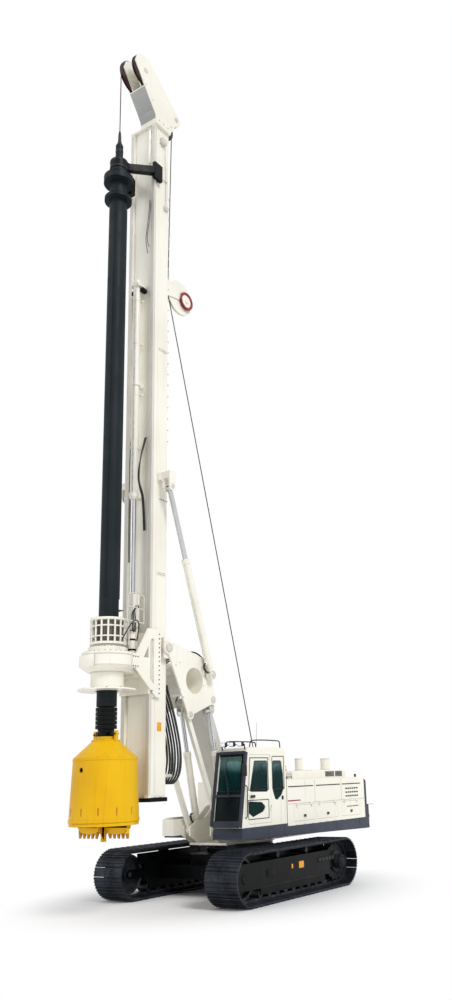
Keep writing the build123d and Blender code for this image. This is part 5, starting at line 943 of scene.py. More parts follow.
# ------------------------------------------------------------------ cab
@dataclass
class CabTrim:
    """Windshield surround, seals, rails, lamps and fittings of the cab."""

    inner: float = 0.66
    outer: float = HOUSE_SIDE
    middle: float = 1.14
    roof: float = 3.88
    front_low: tuple[float, float] = (2.18, 1.94)
    front_top: tuple[float, float] = (1.88, 3.75)
    pane_half: float = 0.37
    low_pane: tuple[float, float] = (2.0, 2.6)
    main_pane: tuple[float, float] = (2.66, 3.70)

    def front(self, left: float, up: float, out: float = 0.0) -> Vector:
        """Gives a place on the sloping front, or out from it."""
        share = (up - self.front_low[1]) / (self.front_top[1] - self.front_low[1])
        forward = self.front_low[0] + share * (self.front_top[0] - self.front_low[0])
        return at(forward, left, up) + self.normal() * out

    def normal(self) -> Vector:
        """Gives the direction that the front faces."""
        run = Vector((self.front_top[0] - self.front_low[0], 0, self.front_top[1] - self.front_low[1]))
        return Vector((run.z, 0, -run.x)).normalized()

    def strip(self, piece: Piece, left: tuple[float, float], up: tuple[float, float], thick: float,
              bevel: float) -> None:
        """Adds a flat strip to the front between two widths and two heights."""
        around = ((left[0], up[0]), (left[1], up[0]), (left[1], up[1]), (left[0], up[1]))
        corners = [self.front(y, z) for y, z in around]
        piece.plate(corners, self.normal() * thick, bevel)

    def build(self) -> None:
        """Makes the outside fittings of the cab."""
        self.surround()
        self.seals()
        self.roof_fittings()
        self.side_fittings()

    def surround(self) -> None:
        """Frames the windshield and the pane under it, and adds the wiper."""
        low, high = self.middle - self.pane_half, self.middle + self.pane_half
        frame_piece = Piece("windshield_frame", "upper", GREY)
        upright, bar = (1.86, 3.77), (low - 0.03, self.outer - 0.01)
        for left, up, thick, bevel in (
            ((self.inner - 0.01, low - 0.02), upright, 0.05, 0.02),
            ((self.outer - 0.035, self.outer + 0.025), upright, 0.045, 0.018),
            (bar, (self.low_pane[1], self.main_pane[0]), 0.04, 0.012),
            (bar, (self.main_pane[1], 3.78), 0.045, 0.015),
            (bar, (1.83, self.low_pane[0]), 0.035, 0.01),
        ):
            self.strip(frame_piece, left, up, thick, bevel)
        around = ((1.84, 0.0), (3.76, 0.0), (3.76, -0.075), (1.84, -0.075))
        post = [self.front(self.outer - 0.002, z, out) for z, out in around]
        frame_piece.plate(post, (0, 0.02, 0), 0.006)
        frame_piece.done()
        dark = Piece("windshield_band", "upper", BAND)
        for pane in (self.low_pane, self.main_pane):
            self.strip(dark, (high - 0.005, self.outer - 0.03), pane, 0.008, 0.003)
        self.strip(dark, (low, high), (self.main_pane[0], 2.745), 0.007, 0.003)
        self.strip(dark, (low, high), self.low_pane, 0.006, 0.002)
        self.strip(dark, (low, high), (3.635, self.main_pane[1]), 0.007, 0.003)
        dark.done()
        wiper = Piece("wiper", "upper", RUBBER)
        wiper.line([self.front(1.2, 2.69, 0.05), self.front(1.14, 2.9, 0.05), self.front(0.98, 3.32, 0.035)], 0.008)
        wiper.rod(self.front(1.2, 2.67, 0.03), self.front(1.2, 2.67, 0.075), 0.024, 12)
        wiper.plate([self.front(0.9, 3.0, 0.018), self.front(0.91, 3.0, 0.018), self.front(1.07, 3.58, 0.018),
                     self.front(1.06, 3.58, 0.018)], self.normal() * 0.012)
        wiper.done()

    def seals(self) -> None:
        """Runs rubber seals round the windows of the door and the wall."""
        for name, body, loops in (
            ("wall_seals", "upper", (((0.08, 2.76), (0.66, 2.76), (0.66, 3.64), (0.08, 3.64)),)),
            ("door_seals", "cab_door", (((0.86, 2.76), (1.78, 2.76), (1.70, 3.6), (0.86, 3.6)),
                                        ((0.86, 2.02), (1.80, 2.02), (1.80, 2.5), (0.86, 2.5)))),
        ):
            piece = Piece(name, body, RUBBER)
            for loop in loops:
                for start, end in zip(loop, loop[1:] + loop[:1]):
                    piece.rod(at(start[0], self.outer + 0.001, start[1]), at(end[0], self.outer + 0.001, end[1]),
                              0.011, 8)
            piece.done()

    def roof_fittings(self) -> None:
        """Adds the hoops, the lamp bar, three lamps, an aerial and the beacon."""
        rails = Piece("cab_roof_rails", "upper", BLACK)
        for left in (self.inner + 0.06, self.outer - 0.06):
            rails.line([at(0.15, left, self.roof - 0.02), at(0.15, left, self.roof + 0.16),
                        at(0.25, left, self.roof + 0.2), at(1.45, left, self.roof + 0.2),
                        at(1.6, left, self.roof + 0.15), at(1.62, left, self.roof - 0.02)], 0.016)
        rails.line([at(1.78, self.inner + 0.1, self.roof - 0.05), at(1.8, self.inner + 0.1, self.roof + 0.08),
                    at(1.8, self.outer - 0.1, self.roof + 0.08), at(1.78, self.outer - 0.1, self.roof - 0.05)],
                   0.018, False)
        rails.rod(at(0.25, 0.8, self.roof), at(0.2, 0.8, self.roof + 0.75), 0.006, 8, 0.003)
        rails.done()
        lamps = Piece("cab_lamp_bodies", "upper", RUBBER)
        lenses = Piece("cab_lenses", "upper", CLEAR_LAMP)
        for left in (self.inner + 0.2, self.middle, self.outer - 0.2):
            lamps.block(at(1.84, left, self.roof + 0.09), (0.11, 0.17, 0.12), 0.02)
            lenses.block(at(1.9, left, self.roof + 0.09), (0.02, 0.14, 0.095), 0.008)
        lamps.done()
        lenses.done()
        beacon = Piece("beacon", "upper", AMBER_LAMP)
        beacon.turned([(0, 0.14), (0.04, 0.135), (0.055, 0.11), (0.058, 0.02), (0.058, 0.0)],
                      at(-0.14, self.outer - 0.12, 3.27), UP, 24)
        beacon.done()
        stem = Piece("beacon_stem", "upper", RUBBER)
        stem.rod(at(-0.14, self.outer - 0.12, 2.95), at(-0.14, self.outer - 0.12, 3.27), 0.02, 12)
        stem.rod(at(-0.14, self.outer - 0.12, 3.24), at(-0.14, self.outer - 0.12, 3.275), 0.065, 20)
        stem.done()

    def side_fittings(self) -> None:
        """Adds the door's handle and lock, the grab rail and the mirror."""
        door = Piece("door_fittings", "cab_door", RUBBER)
        door.block(at(1.64, self.outer + 0.042, 2.6), (0.20, 0.022, 0.07), 0.01)
        door.rod(at(1.64, self.outer - 0.01, 2.6), at(1.64, self.outer + 0.03, 2.6), 0.022, 12)
        door.done()
        rails = Piece("cab_grab_rails", "upper", BLACK)
        rails.line([at(1.93, self.outer - 0.01, 2.05), at(1.95, self.outer + 0.07, 2.1),
                    at(1.93, self.outer + 0.07, 2.85), at(1.9, self.outer - 0.01, 2.9)], 0.014, False)
        rails.block(at(0.18, self.outer + 0.008, 2.52), (0.07, 0.02, 0.10), 0.006)
        rails.done()
        mirror = Piece("cab_mirror", "upper", RUBBER)
        mirror.line([self.front(self.outer - 0.03, 3.55, 0.0), self.front(self.outer + 0.1, 3.55, 0.12),
                     self.front(self.outer + 0.12, 3.4, 0.14)], 0.011)
        mirror.block(self.front(self.outer + 0.12, 3.25, 0.15), (0.04, 0.16, 0.3), 0.018)
        mirror.done()


@dataclass
class CabInterior:
    """Seat, consoles and screen inside the cab."""

    seat: float = 0.62
    middle: float = 1.14
    console: float = 0.27

    def build(self) -> None:
        """Makes the seat with cushions, and the controls beside and ahead of it."""
        cushions = Piece("seat_cushions", "upper", SEAT)
        lean = Matrix.Rotation(math.radians(-11), 3, "Y")
        cushions.block(at(self.seat + 0.06, self.middle, 2.49), (0.48, 0.5, 0.1), 0.04)
        cushions.block(at(self.seat - 0.2, self.middle, 2.76), (0.1, 0.48, 0.5), 0.04, lean)
        cushions.block(at(self.seat - 0.28, self.middle, 3.08), (0.09, 0.28, 0.16), 0.035, lean)
        for side in Side:
            cushions.block(at(self.seat + 0.06, self.middle + side * 0.23, 2.53), (0.42, 0.07, 0.09), 0.03)
        cushions.done()
        base = Piece("seat_base", "upper", TRIM)
        base.block(at(self.seat, self.middle, 2.1), (0.38, 0.4, 0.42), 0.04)
        for side in Side:
            left = self.middle + side * self.console
            base.block(at(self.seat + 0.12, left, 2.41), (0.54, 0.13, 0.35), 0.03)
            base.rod(at(self.seat + 0.3, left, 2.57), at(self.seat + 0.32, left, 2.7), 0.012, 10)
            base.turned([(0, 0.1), (0.02, 0.095), (0.03, 0.06), (0.024, 0.0), (0, 0.0)],
                        at(self.seat + 0.32, left, 2.68), (0.1, 0, 1), 16)
        base.block(at(1.78, self.middle, 2.25), (0.2, 0.3, 0.76), 0.03)
        base.block(at(1.74, self.middle, 2.68), (0.1, 0.36, 0.22), 0.02, Matrix.Rotation(math.radians(-20), 3, "Y"))
        base.done()
        stand_in = Piece("seat_shell", "upper", TRIM)
        stand_in.block(at(self.seat - 0.25, self.middle, 2.74), (0.04, 0.44, 0.56), 0.015, lean)
        shell = stand_in.done()
        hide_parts("cab_seat")


# ------------------------------------------------------------------ engine house
@dataclass
class HoodTrim:
    """Seams, louvres, latches, a stripe and a row of slots on the engine house."""

    side: float = HOUSE_SIDE
    crease: float = 2.33
    top_seam: float = 2.80
    roof_edge: float = 2.98
    panel_joints: tuple[float, ...] = (-1.55, -3.12)
    dashes: tuple[tuple[float, float], ...] = ((-1.46, -0.12), (-3.06, -1.63), (-4.35, -3.18))
    louvres: tuple[float, ...] = (2.43, 2.545, 2.66)
    louvre_run: tuple[float, float] = (-4.19, -3.36)
    louvre_count: int = 6
    latch_up: float = 1.98
    left_latches: tuple[tuple[str, float], ...] = (
        ("left_door_front", -0.95), ("left_door_middle", -2.25), ("left_door_rear", -3.685))
    right_latches: tuple[tuple[str, float], ...] = (("right_door_front", -1.7), ("right_door_rear", -3.45))

    def build(self) -> None:
        """Makes the trim of both sides."""
        for side in Side:
            self.seams(side)
            self.louvre_panel(side)
        self.stripe()
        for side, latches in ((Side.LEFT, self.left_latches), (Side.RIGHT, self.right_latches)):
            for body, forward in latches:
                self.latch(body, side, forward)
        self.low_slots()

    def seams(self, side: Side) -> None:
        """Draws the dashes and the joints between panels as thin dark strips, and the crease as a thin dark strip of
        painted shade.
        """
        dark = Piece(f"hood_seams_and_crease_shade_{side.label}", "upper", RUBBER)
        for back, front in self.dashes:
            dark.block(at((back + front) / 2, side * (self.side + 0.001), self.top_seam), (front - back, 0.012, 0.03),
                       0.004)
        # The crease is a dark strip of painted shade along the fold.
        dark.block(at(-2.33, side * self.side, self.crease), (4.5, 0.006, 0.006))
        for forward in self.panel_joints:
            dark.block(at(forward, side * self.side, (self.crease + self.roof_edge) / 2),
                       (0.005, 0.005, self.roof_edge - self.crease))
        dark.done()

    def louvre_panel(self, side: Side) -> None:
        """Adds three rows of slots with pressed hoods."""
        slots = Piece(f"hood_louvres_{side.label}", "upper", RUBBER)
        hoods = Piece(f"hood_louvre_lips_{side.label}", "upper", CREAM_HOOD)
        back, front = self.louvre_run
        step = (front - back) / self.louvre_count
        for up in self.louvres:
            for number in range(self.louvre_count):
                middle = back + (number + 0.5) * step
                slots.block(at(middle, side * (self.side + 0.001), up), (step - 0.035, 0.008, 0.042), 0.003)
                hoods.block(at(middle, side * (self.side + 0.008), up + 0.028), (step - 0.03, 0.022, 0.012), 0.005)
        slots.done()
        hoods.done()

    def stripe(self) -> None:
        """Adds the short stripe behind the cab."""
        piece = Piece("hood_stripe", "upper", RED)
        piece.block(at(-0.42, self.side + 0.001, 2.415), (0.66, 0.006, 0.035), 0.002)
        piece.done()

    def latch(self, body: str, side: Side, forward: float) -> None:
        """Adds a flush paddle latch and a key barrel to a door."""
        piece = Piece(f"{body}_latch", body, RUBBER)
        piece.block(at(forward, side * (self.side + 0.016), self.latch_up), (0.13, 0.012, 0.075), 0.006)
        start, end = (at(forward + 0.04, side * (self.side + out), self.latch_up) for out in (0.01, 0.03))
        piece.rod(start, end, 0.014, 12)
        piece.done()

    def low_slots(self) -> None:
        """Adds a row of slots to the rear flap."""
        piece = Piece("rear_flap_slots", "left_door_rear", RUBBER)
        for number in range(8):
            piece.block(at(-4.12 + 0.095 * number, self.side + 0.001, 2.12), (0.07, 0.008, 0.03), 0.003)
        piece.done()


@dataclass
class RoofTrim:
    """Louvres, caps, hatches and lifting eyes on top of the engine house."""

    left: float = 1.10
    box_low: float = 3.0
    box_top: float = 3.24
    panels: tuple[tuple[float, float], ...] = ((-3.60, -3.06), (-4.11, -3.68))
    stacks: tuple[tuple[float, float], ...] = ((-1.92, 0.12), (-3.48, 0.15))
    stack_left: float = 0.85
    stack_top: float = 3.61

    def build(self) -> None:
        """Makes everything on the roof."""
        dark = Piece("roof_louvres", "upper", RUBBER)
        lips = Piece("roof_louvre_lips", "upper", PALE)
        for back, front in self.panels:
            dark.block(at((back + front) / 2, self.left + 0.001, 3.125), (front - back, 0.01, 0.16), 0.004)
            for number in range(5):
                lips.block(at((back + front) / 2, self.left + 0.008, 3.062 + 0.032 * number),
                           (front - back - 0.02, 0.016, 0.006), 0.002)
        dark.done()
        lips.done()
        caps = Piece("stack_caps", "upper", PALE)
        for forward, radius in self.stacks:
            foot = at(forward, self.stack_left, self.stack_top)
            caps.turned([(radius * 0.98, -0.04), (radius * 1.04, -0.035), (radius * 1.04, 0.0),
                         (radius * 0.97, 0.004)], foot, UP, 36)
            caps.turned(band(radius * 1.02, radius * 1.1, -0.33, -0.37), foot, UP, 36)
        caps.done()
        hatches = Piece("roof_hatches", "upper", CREAM_HOOD)
        for forward, left, long, wide in ((-2.7, 0.85, 0.7, 0.4), (-3.3, 0.1, 0.9, 0.6), (-0.7, 1.1, 0.8, 0.7),
                                          (-0.9, -1.1, 0.9, 0.7), (-3.4, -1.0, 1.2, 0.8)):
            top = self.box_top if left > -0.3 and forward < -1.15 else self.box_low
            hatches.block(at(forward, left, top + 0.008), (long, wide, 0.02), 0.008)
        hatches.done()
        grips = Piece("roof_grips", "upper", BLACK)
        for forward, left in ((-0.7, 1.3), (-0.9, -1.3)):
            grips.line([at(forward - 0.12, left, self.box_low), at(forward - 0.12, left, self.box_low + 0.07),
                        at(forward + 0.12, left, self.box_low + 0.07), at(forward + 0.12, left, self.box_low)],
                       0.01, False)
        for forward in (-4.35, -0.25):
            for left in (-1.45, 1.45):
                grips.turned(eye(0.03, 0.055, 0.012), at(forward, left, self.box_low + 0.045), ACROSS, 20)
        grips.done()


@dataclass
class CounterweightTrim:
    """Joints, lifting eyes, bolts and lamps of the counterweight."""

    side: float = HOUSE_SIDE
    back: float = -5.2

    def build(self) -> None:
        """Makes the trim of the counterweight."""
        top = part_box("counterweight")[1][2]
        eyes = Piece("counterweight_eyes", "upper", DARK)
        for left in (-1.0, 1.0):
            eyes.turned(eye(0.045, 0.09, 0.025), at(-4.85, left, top - 0.03), ACROSS, 24)
        eyes.bolts([at(-4.979, left, top - 0.003) for left in (-0.5, 0.0, 0.5)], UP, 0.03, 0.02)
        eyes.done()
        lamps = Piece("tail_lamps", "upper", RED_LAMP)
        for left in (-1.35, 1.35):
            lamps.block(at(self.back + 0.004, left, 1.75), (0.02, 0.2, 0.09), 0.006)
        lamps.done()
        joints = Piece("counterweight_joints", "upper", RUBBER)
        for side in Side:
            joints.block(at(-4.9, side * self.side, 2.125), (0.56, 0.006, 0.01))
        for left in (-0.55, 0.55):
            joints.block(at(self.back, left, 1.76), (0.006, 0.012, 0.66))
        joints.done()


@dataclass
class DeckTrim:
    """Joints and bolts on the skirts, tread strips, and the side boxes' handles."""

    side: float = HOUSE_SIDE
    skirt_joints: tuple[float, ...] = (0.9, 0.15, -1.25, -2.75, -4.2)
    bolt_pitch: float = 0.42
    tread: float = 2.053

    def build(self) -> None:
        """Makes the trim of the deck and the right-hand boxes."""
        seams = Piece("skirt_seams", "upper", RUBBER)
        for side in Side:
            for forward in self.skirt_joints:
                seams.block(at(forward, side * self.side, 1.62), (0.01, 0.006, 0.24))
        seams.done()
        bolts = Piece("skirt_bolts", "upper", DARK)
        for side in Side:
            front = 2.0 if side > 0 else 0.9
            count = int((front + 3.5) / self.bolt_pitch)
            bolts.bolts([at(front - self.bolt_pitch * number, side * self.side, 1.74) for number in range(count)],
                        side.out, 0.012, 0.010)
        bolts.done()
        sill = Piece("cab_sill", "upper", SLATE)
        sill.block(at(2.106, 1.14, 1.72), (0.012, 0.95, 0.2), 0.004)
        sill.done()
        tread = Piece("tread_strips", "upper", RUBBER)
        for count, back, step, left, wide in ((7, 0.4, 0.16, -1.12, 0.8), (4, 1.62, 0.14, -0.84, 0.3)):
            for number in range(count):
                tread.block(at(back + step * number, left, self.tread), (0.05, wide, 0.008), 0.003)
        tread.done()
        lids = Piece("tool_box_fittings", "upper", BLACK)
        for forward in (0.6, 1.15):
            lids.block(at(forward, -1.586, 1.95), (0.1, 0.014, 0.06), 0.005)
        lids.done()


@dataclass
class WinchTrim:
    """Rope wound on the drum, and the bolts of its flanges."""

    axis: tuple[float, float] = (-1.45, 2.70)
    radius: float = 0.33
    rope: float = 0.015
    gap: float = 0.04

    def build(self) -> None:
        """Makes the rope's turns and the flange bolts."""
        low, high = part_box("winch_drum")
        half = (high[1] - low[1]) / 2 - 0.07
        turns = int((half - self.gap) / (2 * self.rope))
        wound = Piece("wound_rope", "winch_drum", ROPE)
        profile = [(self.radius - 0.07, self.gap), (self.radius - 0.02, self.gap)]
        for number in range(turns):
            middle = self.gap + (2 * number + 1) * (half - self.gap) / (2 * turns)
            for share in (-0.5, 0.0, 0.5):
                lift = self.rope * math.sqrt(1 - share * share)
                profile.append((self.radius - 0.012 + lift, middle + share * 1.8 * self.rope))
        profile.append((self.radius - 0.02, half))
        for side in Side:
            wound.turned(profile, at(self.axis[0], 0, self.axis[1]), side.out, 40)
        wound.done()
        bolts = Piece("winch_bolts", "winch_drum", DARK)
        for side in Side:
            face = high[1] if side > 0 else low[1]
            bolts.bolts(ring_places(at(self.axis[0], face, self.axis[1]), 0.2, 10, Axis.Y), side.out, 0.016, 0.004)
        bolts.done()


# ------------------------------------------------------------------ boom, links and cylinders
@dataclass
class PinCaps:
    """Caps, keeper plates and bolts on the ends of the linkage and head pins."""

    places: tuple[tuple[str, float, float, float, float, float], ...] = (
        # body, forward, up, left face, right face, cap radius
        ("tilt_frame", 3.00, 4.76, 0.66, -0.66, 0.085),
        ("tilt_frame", 2.04, 5.20, 0.66, -0.66, 0.10),
        ("tilt_frame", 3.87, 6.45, 0.68, -0.68, 0.115),
        ("tilt_frame", 2.27, 5.85, 0.885, -0.885, 0.08),
        ("mast", 4.03, 10.85, 0.91, -0.91, 0.075),
        ("mast", 4.93, 24.24, 0.55, -0.08, 0.09),
        ("mast", 3.51, 23.45, 0.55, -0.08, 0.08),
        ("mast", 2.72, 17.62, 0.075, -0.075, 0.085),
        ("boom", 2.01, 4.915, 0.603, -0.603, 0.06),
        ("kelly_inner", 4.54, 2.14, 0.16, -0.16, 0.035),
    )

    def build(self) -> None:
        """Makes one piece of caps for each body."""
        for body in sorted({row[0] for row in self.places}):
            piece = Piece(f"{body}_pin_caps", body, CREAM_PAINTED_SHADE)
            for _, forward, up, left, right, radius in (row for row in self.places if row[0] == body):
                for face, side in ((left, Side.LEFT), (right, Side.RIGHT)):
                    foot = at(forward, face, up)
                    piece.turned([(0, 0.018), (radius * 0.82, 0.018), (radius, 0.008), (radius, -0.004)], foot,
                                 side.out, 28)
                    for place in ring_places(foot + Vector((0, side * 0.017, 0)), radius * 0.6, 6, Axis.Y, 0.4):
                        piece.rod(place, place + Vector((0, side * 0.010, 0)), radius * 0.12, 6)
            piece.done()


@dataclass
class Ram:
    """Gland, ports, pipes and clamps of one pair of hydraulic cylinders."""

    name: str
    foot: tuple[float, float]
    head: tuple[float, float]
    left: float
    barrel: float
    rod: float
    length: float
    pipe_side: int

    def build(self) -> None:
        """Makes the fittings on both cylinders of the pair."""
        start = at(self.foot[0], 0, self.foot[1])
        run = (at(self.head[0], 0, self.head[1]) - start).normalized()
        across = Vector((run.z, 0, -run.x)) * self.pipe_side
        fittings = Piece(f"{self.name}_fittings", f"{self.name}_barrels", CREAM)
        pipes = Piece(f"{self.name}_pipes", f"{self.name}_barrels", CREAM)
        hoses = Piece(f"{self.name}_hoses", f"{self.name}_barrels", HOSE)
        for side in Side:
            line = start + Vector((0, side * self.left, 0))
            top = line + run * self.length
            radius = self.barrel
            fittings.turned([(radius + 0.001, -0.14), (radius + 0.012, -0.13), (radius + 0.012, -0.03),
                          (radius - 0.005, -0.012), (self.rod + 0.012, 0.0), (self.rod + 0.003, 0.003),
                          (self.rod + 0.003, -0.01)], top, run, 36)
            fittings.turned(band(radius + 0.001, radius + 0.01, 0.2, 0.275, 0.005), line, run, 36)
            for share in (0.35, 0.62):
                fittings.turned(band(radius + 0.001, radius + 0.008, -0.015, 0.015),
                                line + run * self.length * share, run, 28)
            off = across * (radius + 0.022)
            high, low = top - run * 0.11, line + run * 0.36
            pipes.line([high + across * radius, high + off * 1.02, high - run * 0.06 + off, low + off], 0.011)
            fittings.block(high + across * (radius + 0.012), (0.06, 0.06, 0.05), 0.008)
            fittings.block(low + across * (radius + 0.012), (0.06, 0.06, 0.09), 0.008)
            for shift in (-0.02, 0.02):
                begin = low + across * (radius + 0.03) + Vector((0, shift, 0))
                hoses.line([begin, begin + across * 0.07, begin + across * 0.1 - run * 0.1,
                            begin + across * 0.05 - run * 0.24, line + across * (radius * 0.4) + run * 0.06
                            + Vector((0, shift, 0))], 0.014)
        fittings.done()
        pipes.done()
        hoses.done()


@dataclass
class BoomTrim:
    """Hoses along the boom and their clamps."""

    foot: tuple[float, float] = (0.67, 2.18)
    head: tuple[float, float] = (2.04, 5.20)

    def build(self) -> None:
        """Lays five hoses over the boom between its pins."""
        start, end = at(self.foot[0], 0, self.foot[1]), at(self.head[0], 0, self.head[1])
        run = (end - start).normalized()
        out = Vector((-run.z, 0, run.x))
        hoses = Piece("boom_hoses", "boom", HOSE)
        clamps = Piece("boom_clamps", "boom", BLACK)
        for number in range(5):
            left = -0.16 + 0.08 * number
            base = Vector((0, left, 0)) + out * 0.25
            sag = 0.02 * ((number * 7) % 5)
            hoses.line([start + base + run * 0.35 + out * 0.12, start + base + run * 0.7 + out * (0.05 + sag),
                        start + base + run * 1.4 + out * 0.03, start + base + run * 2.1 + out * (0.04 + sag),
                        start + base + run * 2.7 + out * 0.05, start + base + run * 3.0 + out * 0.14], 0.021)
        for share in (0.95, 1.75, 2.5):
            clamps.block(start + run * share + out * 0.28, (0.06, 0.42, 0.05), 0.01,
                         Matrix.Rotation(math.atan2(run.x, run.z), 3, "Y"))
        hoses.done()
        clamps.done()


@dataclass
class TiltFrameTrim:
    """Hoses, a valve block and bolts on the tilt frame."""

    face: float = 0.66

    def build(self) -> None:
        """Makes hoses between the plates and bolts on their outer faces."""
        hoses = Piece("tilt_frame_hoses", "tilt_frame", HOSE)
        for number in range(6):
            left = -0.40 + 0.16 * number
            drop = 0.05 * ((number * 3) % 4)
            hoses.line([at(2.12, left, 5.45), at(1.92, left * 1.05, 5.62 + drop), at(1.95, left * 1.05, 6.05 + drop),
                        at(2.5, left, 6.4 + drop), at(3.1, left, 6.35), at(3.5, left, 6.12)], 0.022)
        for side in Side:
            hoses.line([at(2.2, side * 0.55, 5.25), at(2.0, side * 0.57, 5.5), at(1.93, side * 0.58, 5.95),
                        at(2.1, side * 0.57, 6.2), at(2.45, side * 0.55, 6.1)], 0.018)
        hoses.done()
        block = Piece("tilt_valves", "tilt_frame", CREAM)
        block.block(at(2.95, 0, 5.95), (0.34, 0.4, 0.2), 0.015)
        block.done()
        bolts = Piece("tilt_frame_bolts", "tilt_frame", CREAM_PAINTED_SHADE)
        for side in Side:
            places = [at(forward, side * self.face, up) for forward, up in
                      ((2.45, 5.55), (3.45, 6.1), (3.6, 6.02), (3.3, 5.2), (3.42, 5.4))]
            bolts.bolts(places, side.out, 0.016, 0.014)
        bolts.done()


# ------------------------------------------------------------------ mast
@dataclass
class MastTrim:
    """Seams, section joints, pipes, hoses and blank plates on the mast."""

    half: float = 0.46
    back: float = 3.77
    strip_middle: float = 12.7
    strip_long: float = 19.9
    crowd: float = 4.59
    joints: tuple[float, ...] = (8.45, 15.1, 20.9)

    def build(self) -> None:
        """Makes the trim of the whole mast."""
        self.strips()
        self.section_joints()
        self.pipes()
        self.front_hoses()
        self.plates()
        self.foot_bundle()

    def strips(self) -> None:
        """Adds the lengthwise weld strips down both sides, the hose tray at the back, and thin darker plates on the
        rails that are painted shade.
        """
        strips = Piece("mast_strips", "mast", CREAM)
        for side in Side:
            strips.block(at(4.185, side * (self.half + 0.002), self.strip_middle), (0.028, 0.010, 19.8), 0.003)
            strips.block(at(self.back + 0.02, side * (self.half + 0.001), self.strip_middle),
                         (0.012, 0.006, self.strip_long), 0.002)
        strips.done()
        # Thin plates of darker cream on the rails' front and side faces: painted shade.
        rails = Piece("rail_face_shade", "mast", CREAM_PAINTED_SHADE)
        for side in Side:
            rails.block(at(4.4305, side * 0.43, self.strip_middle), (0.005, 0.11, self.strip_long), 0.001)
            rails.block(at(4.39, side * 0.5005, self.strip_middle), (0.06, 0.003, self.strip_long))
        rails.done()

    def section_joints(self) -> None:
        """Adds bolted side plates where the mast's sections meet."""
        plates = Piece("mast_joint_plates", "mast", CREAM)
        bolts = Piece("mast_joint_bolts", "mast", DARK)
        for height in self.joints:
            for side in Side:
                plates.block(at(3.99, side * (self.half + 0.006), height), (0.34, 0.014, 0.09), 0.004)
                bolts.bolts([at(3.86 + 0.052 * n, side * (self.half + 0.013), height + lift)
                             for n in range(6) for lift in (-0.022, 0.022)], side.out, 0.008, 0.008)
            plates.block(at(self.back - 0.006, 0, height), (0.014, 0.8, 0.09), 0.004)
        for side in Side:
            bolts.bolts([at(3.70 + 0.07 * n, side * self.half, up) for n in range(1, 6) for up in (10.55, 11.2)],
                        side.out, 0.013, 0.012)
        plates.done()
        bolts.done()

    def pipes(self) -> None:
        """Runs steel pipes and their clamps up the back of the mast."""
        pipes = Piece("mast_pipes", "mast", BLACK)
        for number in range(4):
            left = -0.34 + 0.05 * number
            pipes.rod(at(self.back - 0.02, left, 6.9), at(self.back - 0.02, left, 21.8), 0.013, 10)
        for number in range(20):
            pipes.block(at(self.back - 0.02, -0.265, 7.2 + 0.76 * number), (0.045, 0.24, 0.03), 0.004)
        pipes.done()

    def front_hoses(self) -> None:
        """Hangs the hoses down the mast's face and fits out the crowd cylinder."""
        hoses = Piece("feed_hoses", "mast", HOSE)
        for number in range(3):
            left = 0.24 + 0.03 * number
            hoses.line([at(4.44, left, 12.3), at(4.5, left, 12.1), at(4.62 + 0.03 * number, left, 11.6),
                        at(4.72, left, 11.1 - 0.08 * number), at(4.62, left, 10.75), at(4.5, left, 10.5),
                        at(4.45, left, 9.6)], 0.013)
        for number in range(2):
            left = -0.25 - 0.04 * number
            hoses.line([at(4.44, left, 12.3), at(4.47, left, 12.0), at(4.47, left, 9.4), at(4.45, left, 8.8)], 0.011)
        for number in range(2):
            left = 0.30 + 0.05 * number
            hoses.line([at(4.42, left, 20.0), at(4.46, left + 0.02, 19.6), at(4.47, left - 0.05, 19.0),
                        at(4.46, left - 0.12, 18.6), at(4.42, left - 0.06, 18.2 + 0.2 * number)], 0.010)
        hoses.done()
        crowd = Piece("crowd_fittings", "mast", CREAM)
        foot = at(self.crowd, 0, 10.5)
        crowd.turned([(0.106, 0.16), (0.118, 0.15), (0.118, 0.03), (0.10, 0.008), (0.085, 0.0), (0.074, -0.004),
                      (0.074, 0.01)], foot, UP, 36)
        for height in (12.0, 13.6, 15.2, 16.6):
            crowd.turned(band(0.106, 0.116, -0.03, 0.03), at(self.crowd, 0, height), UP, 28)
            crowd.block(at(4.46, 0, height), (0.06, 0.3, 0.05), 0.008)
        for side in Side:
            crowd.block(at(4.56, side * 0.135, 17.08), (0.3, 0.05, 0.1), 0.012)
        crowd.done()
        bracket = Piece("crowd_bracket", "mast", BLACK)
        for side in Side:
            bracket.block(at(4.50, side * 0.17, 16.92), (0.18, 0.12, 0.12), 0.012)
        bracket.done()
        pipe = Piece("crowd_pipe", "mast", BRIGHT)
        pipe.line([at(4.68, 0.05, 16.9), at(4.72, 0.06, 16.85), at(4.715, 0.06, 16.5), at(4.715, 0.06, 10.8),
                   at(4.7, 0.05, 10.62)], 0.010)
        pipe.done()

    def plates(self) -> None:
        """Adds the blank plate low on the side, small boxes higher up and the rungs."""
        signs = Piece("mast_plates", "mast", SIGN)
        signs.block(at(4.02, self.half + 0.003, 4.42), (0.16, 0.006, 0.22), 0.003)
        signs.done()
        boxes = Piece("mast_boxes", "mast", CREAM_PAINTED_SHADE)
        boxes.block(at(4.06, self.half + 0.06, 22.24), (0.22, 0.12, 0.2), 0.02)
        boxes.block(at(3.9, self.half + 0.03, 19.93), (0.16, 0.06, 0.14), 0.01)
        boxes.block(at(3.85, -self.half - 0.04, 14.0), (0.14, 0.08, 0.3), 0.015)
        boxes.line([at(4.0, self.half + 0.07, 22.14), at(3.96, self.half + 0.06, 21.6),
                    at(3.9, self.half + 0.03, 20.9), at(3.9, self.half + 0.03, 20.0)], 0.010)
        boxes.done()
        rungs = Piece("mast_rungs", "mast", CREAM_PAINTED_SHADE)
        for number in range(24):
            up = 12.4 + 0.35 * number
            rungs.line([at(self.back, 0.12, up), at(self.back - 0.12, 0.12, up), at(self.back - 0.12, 0.4, up),
                        at(self.back, 0.4, up)], 0.011, False, 2)
        rungs.done()

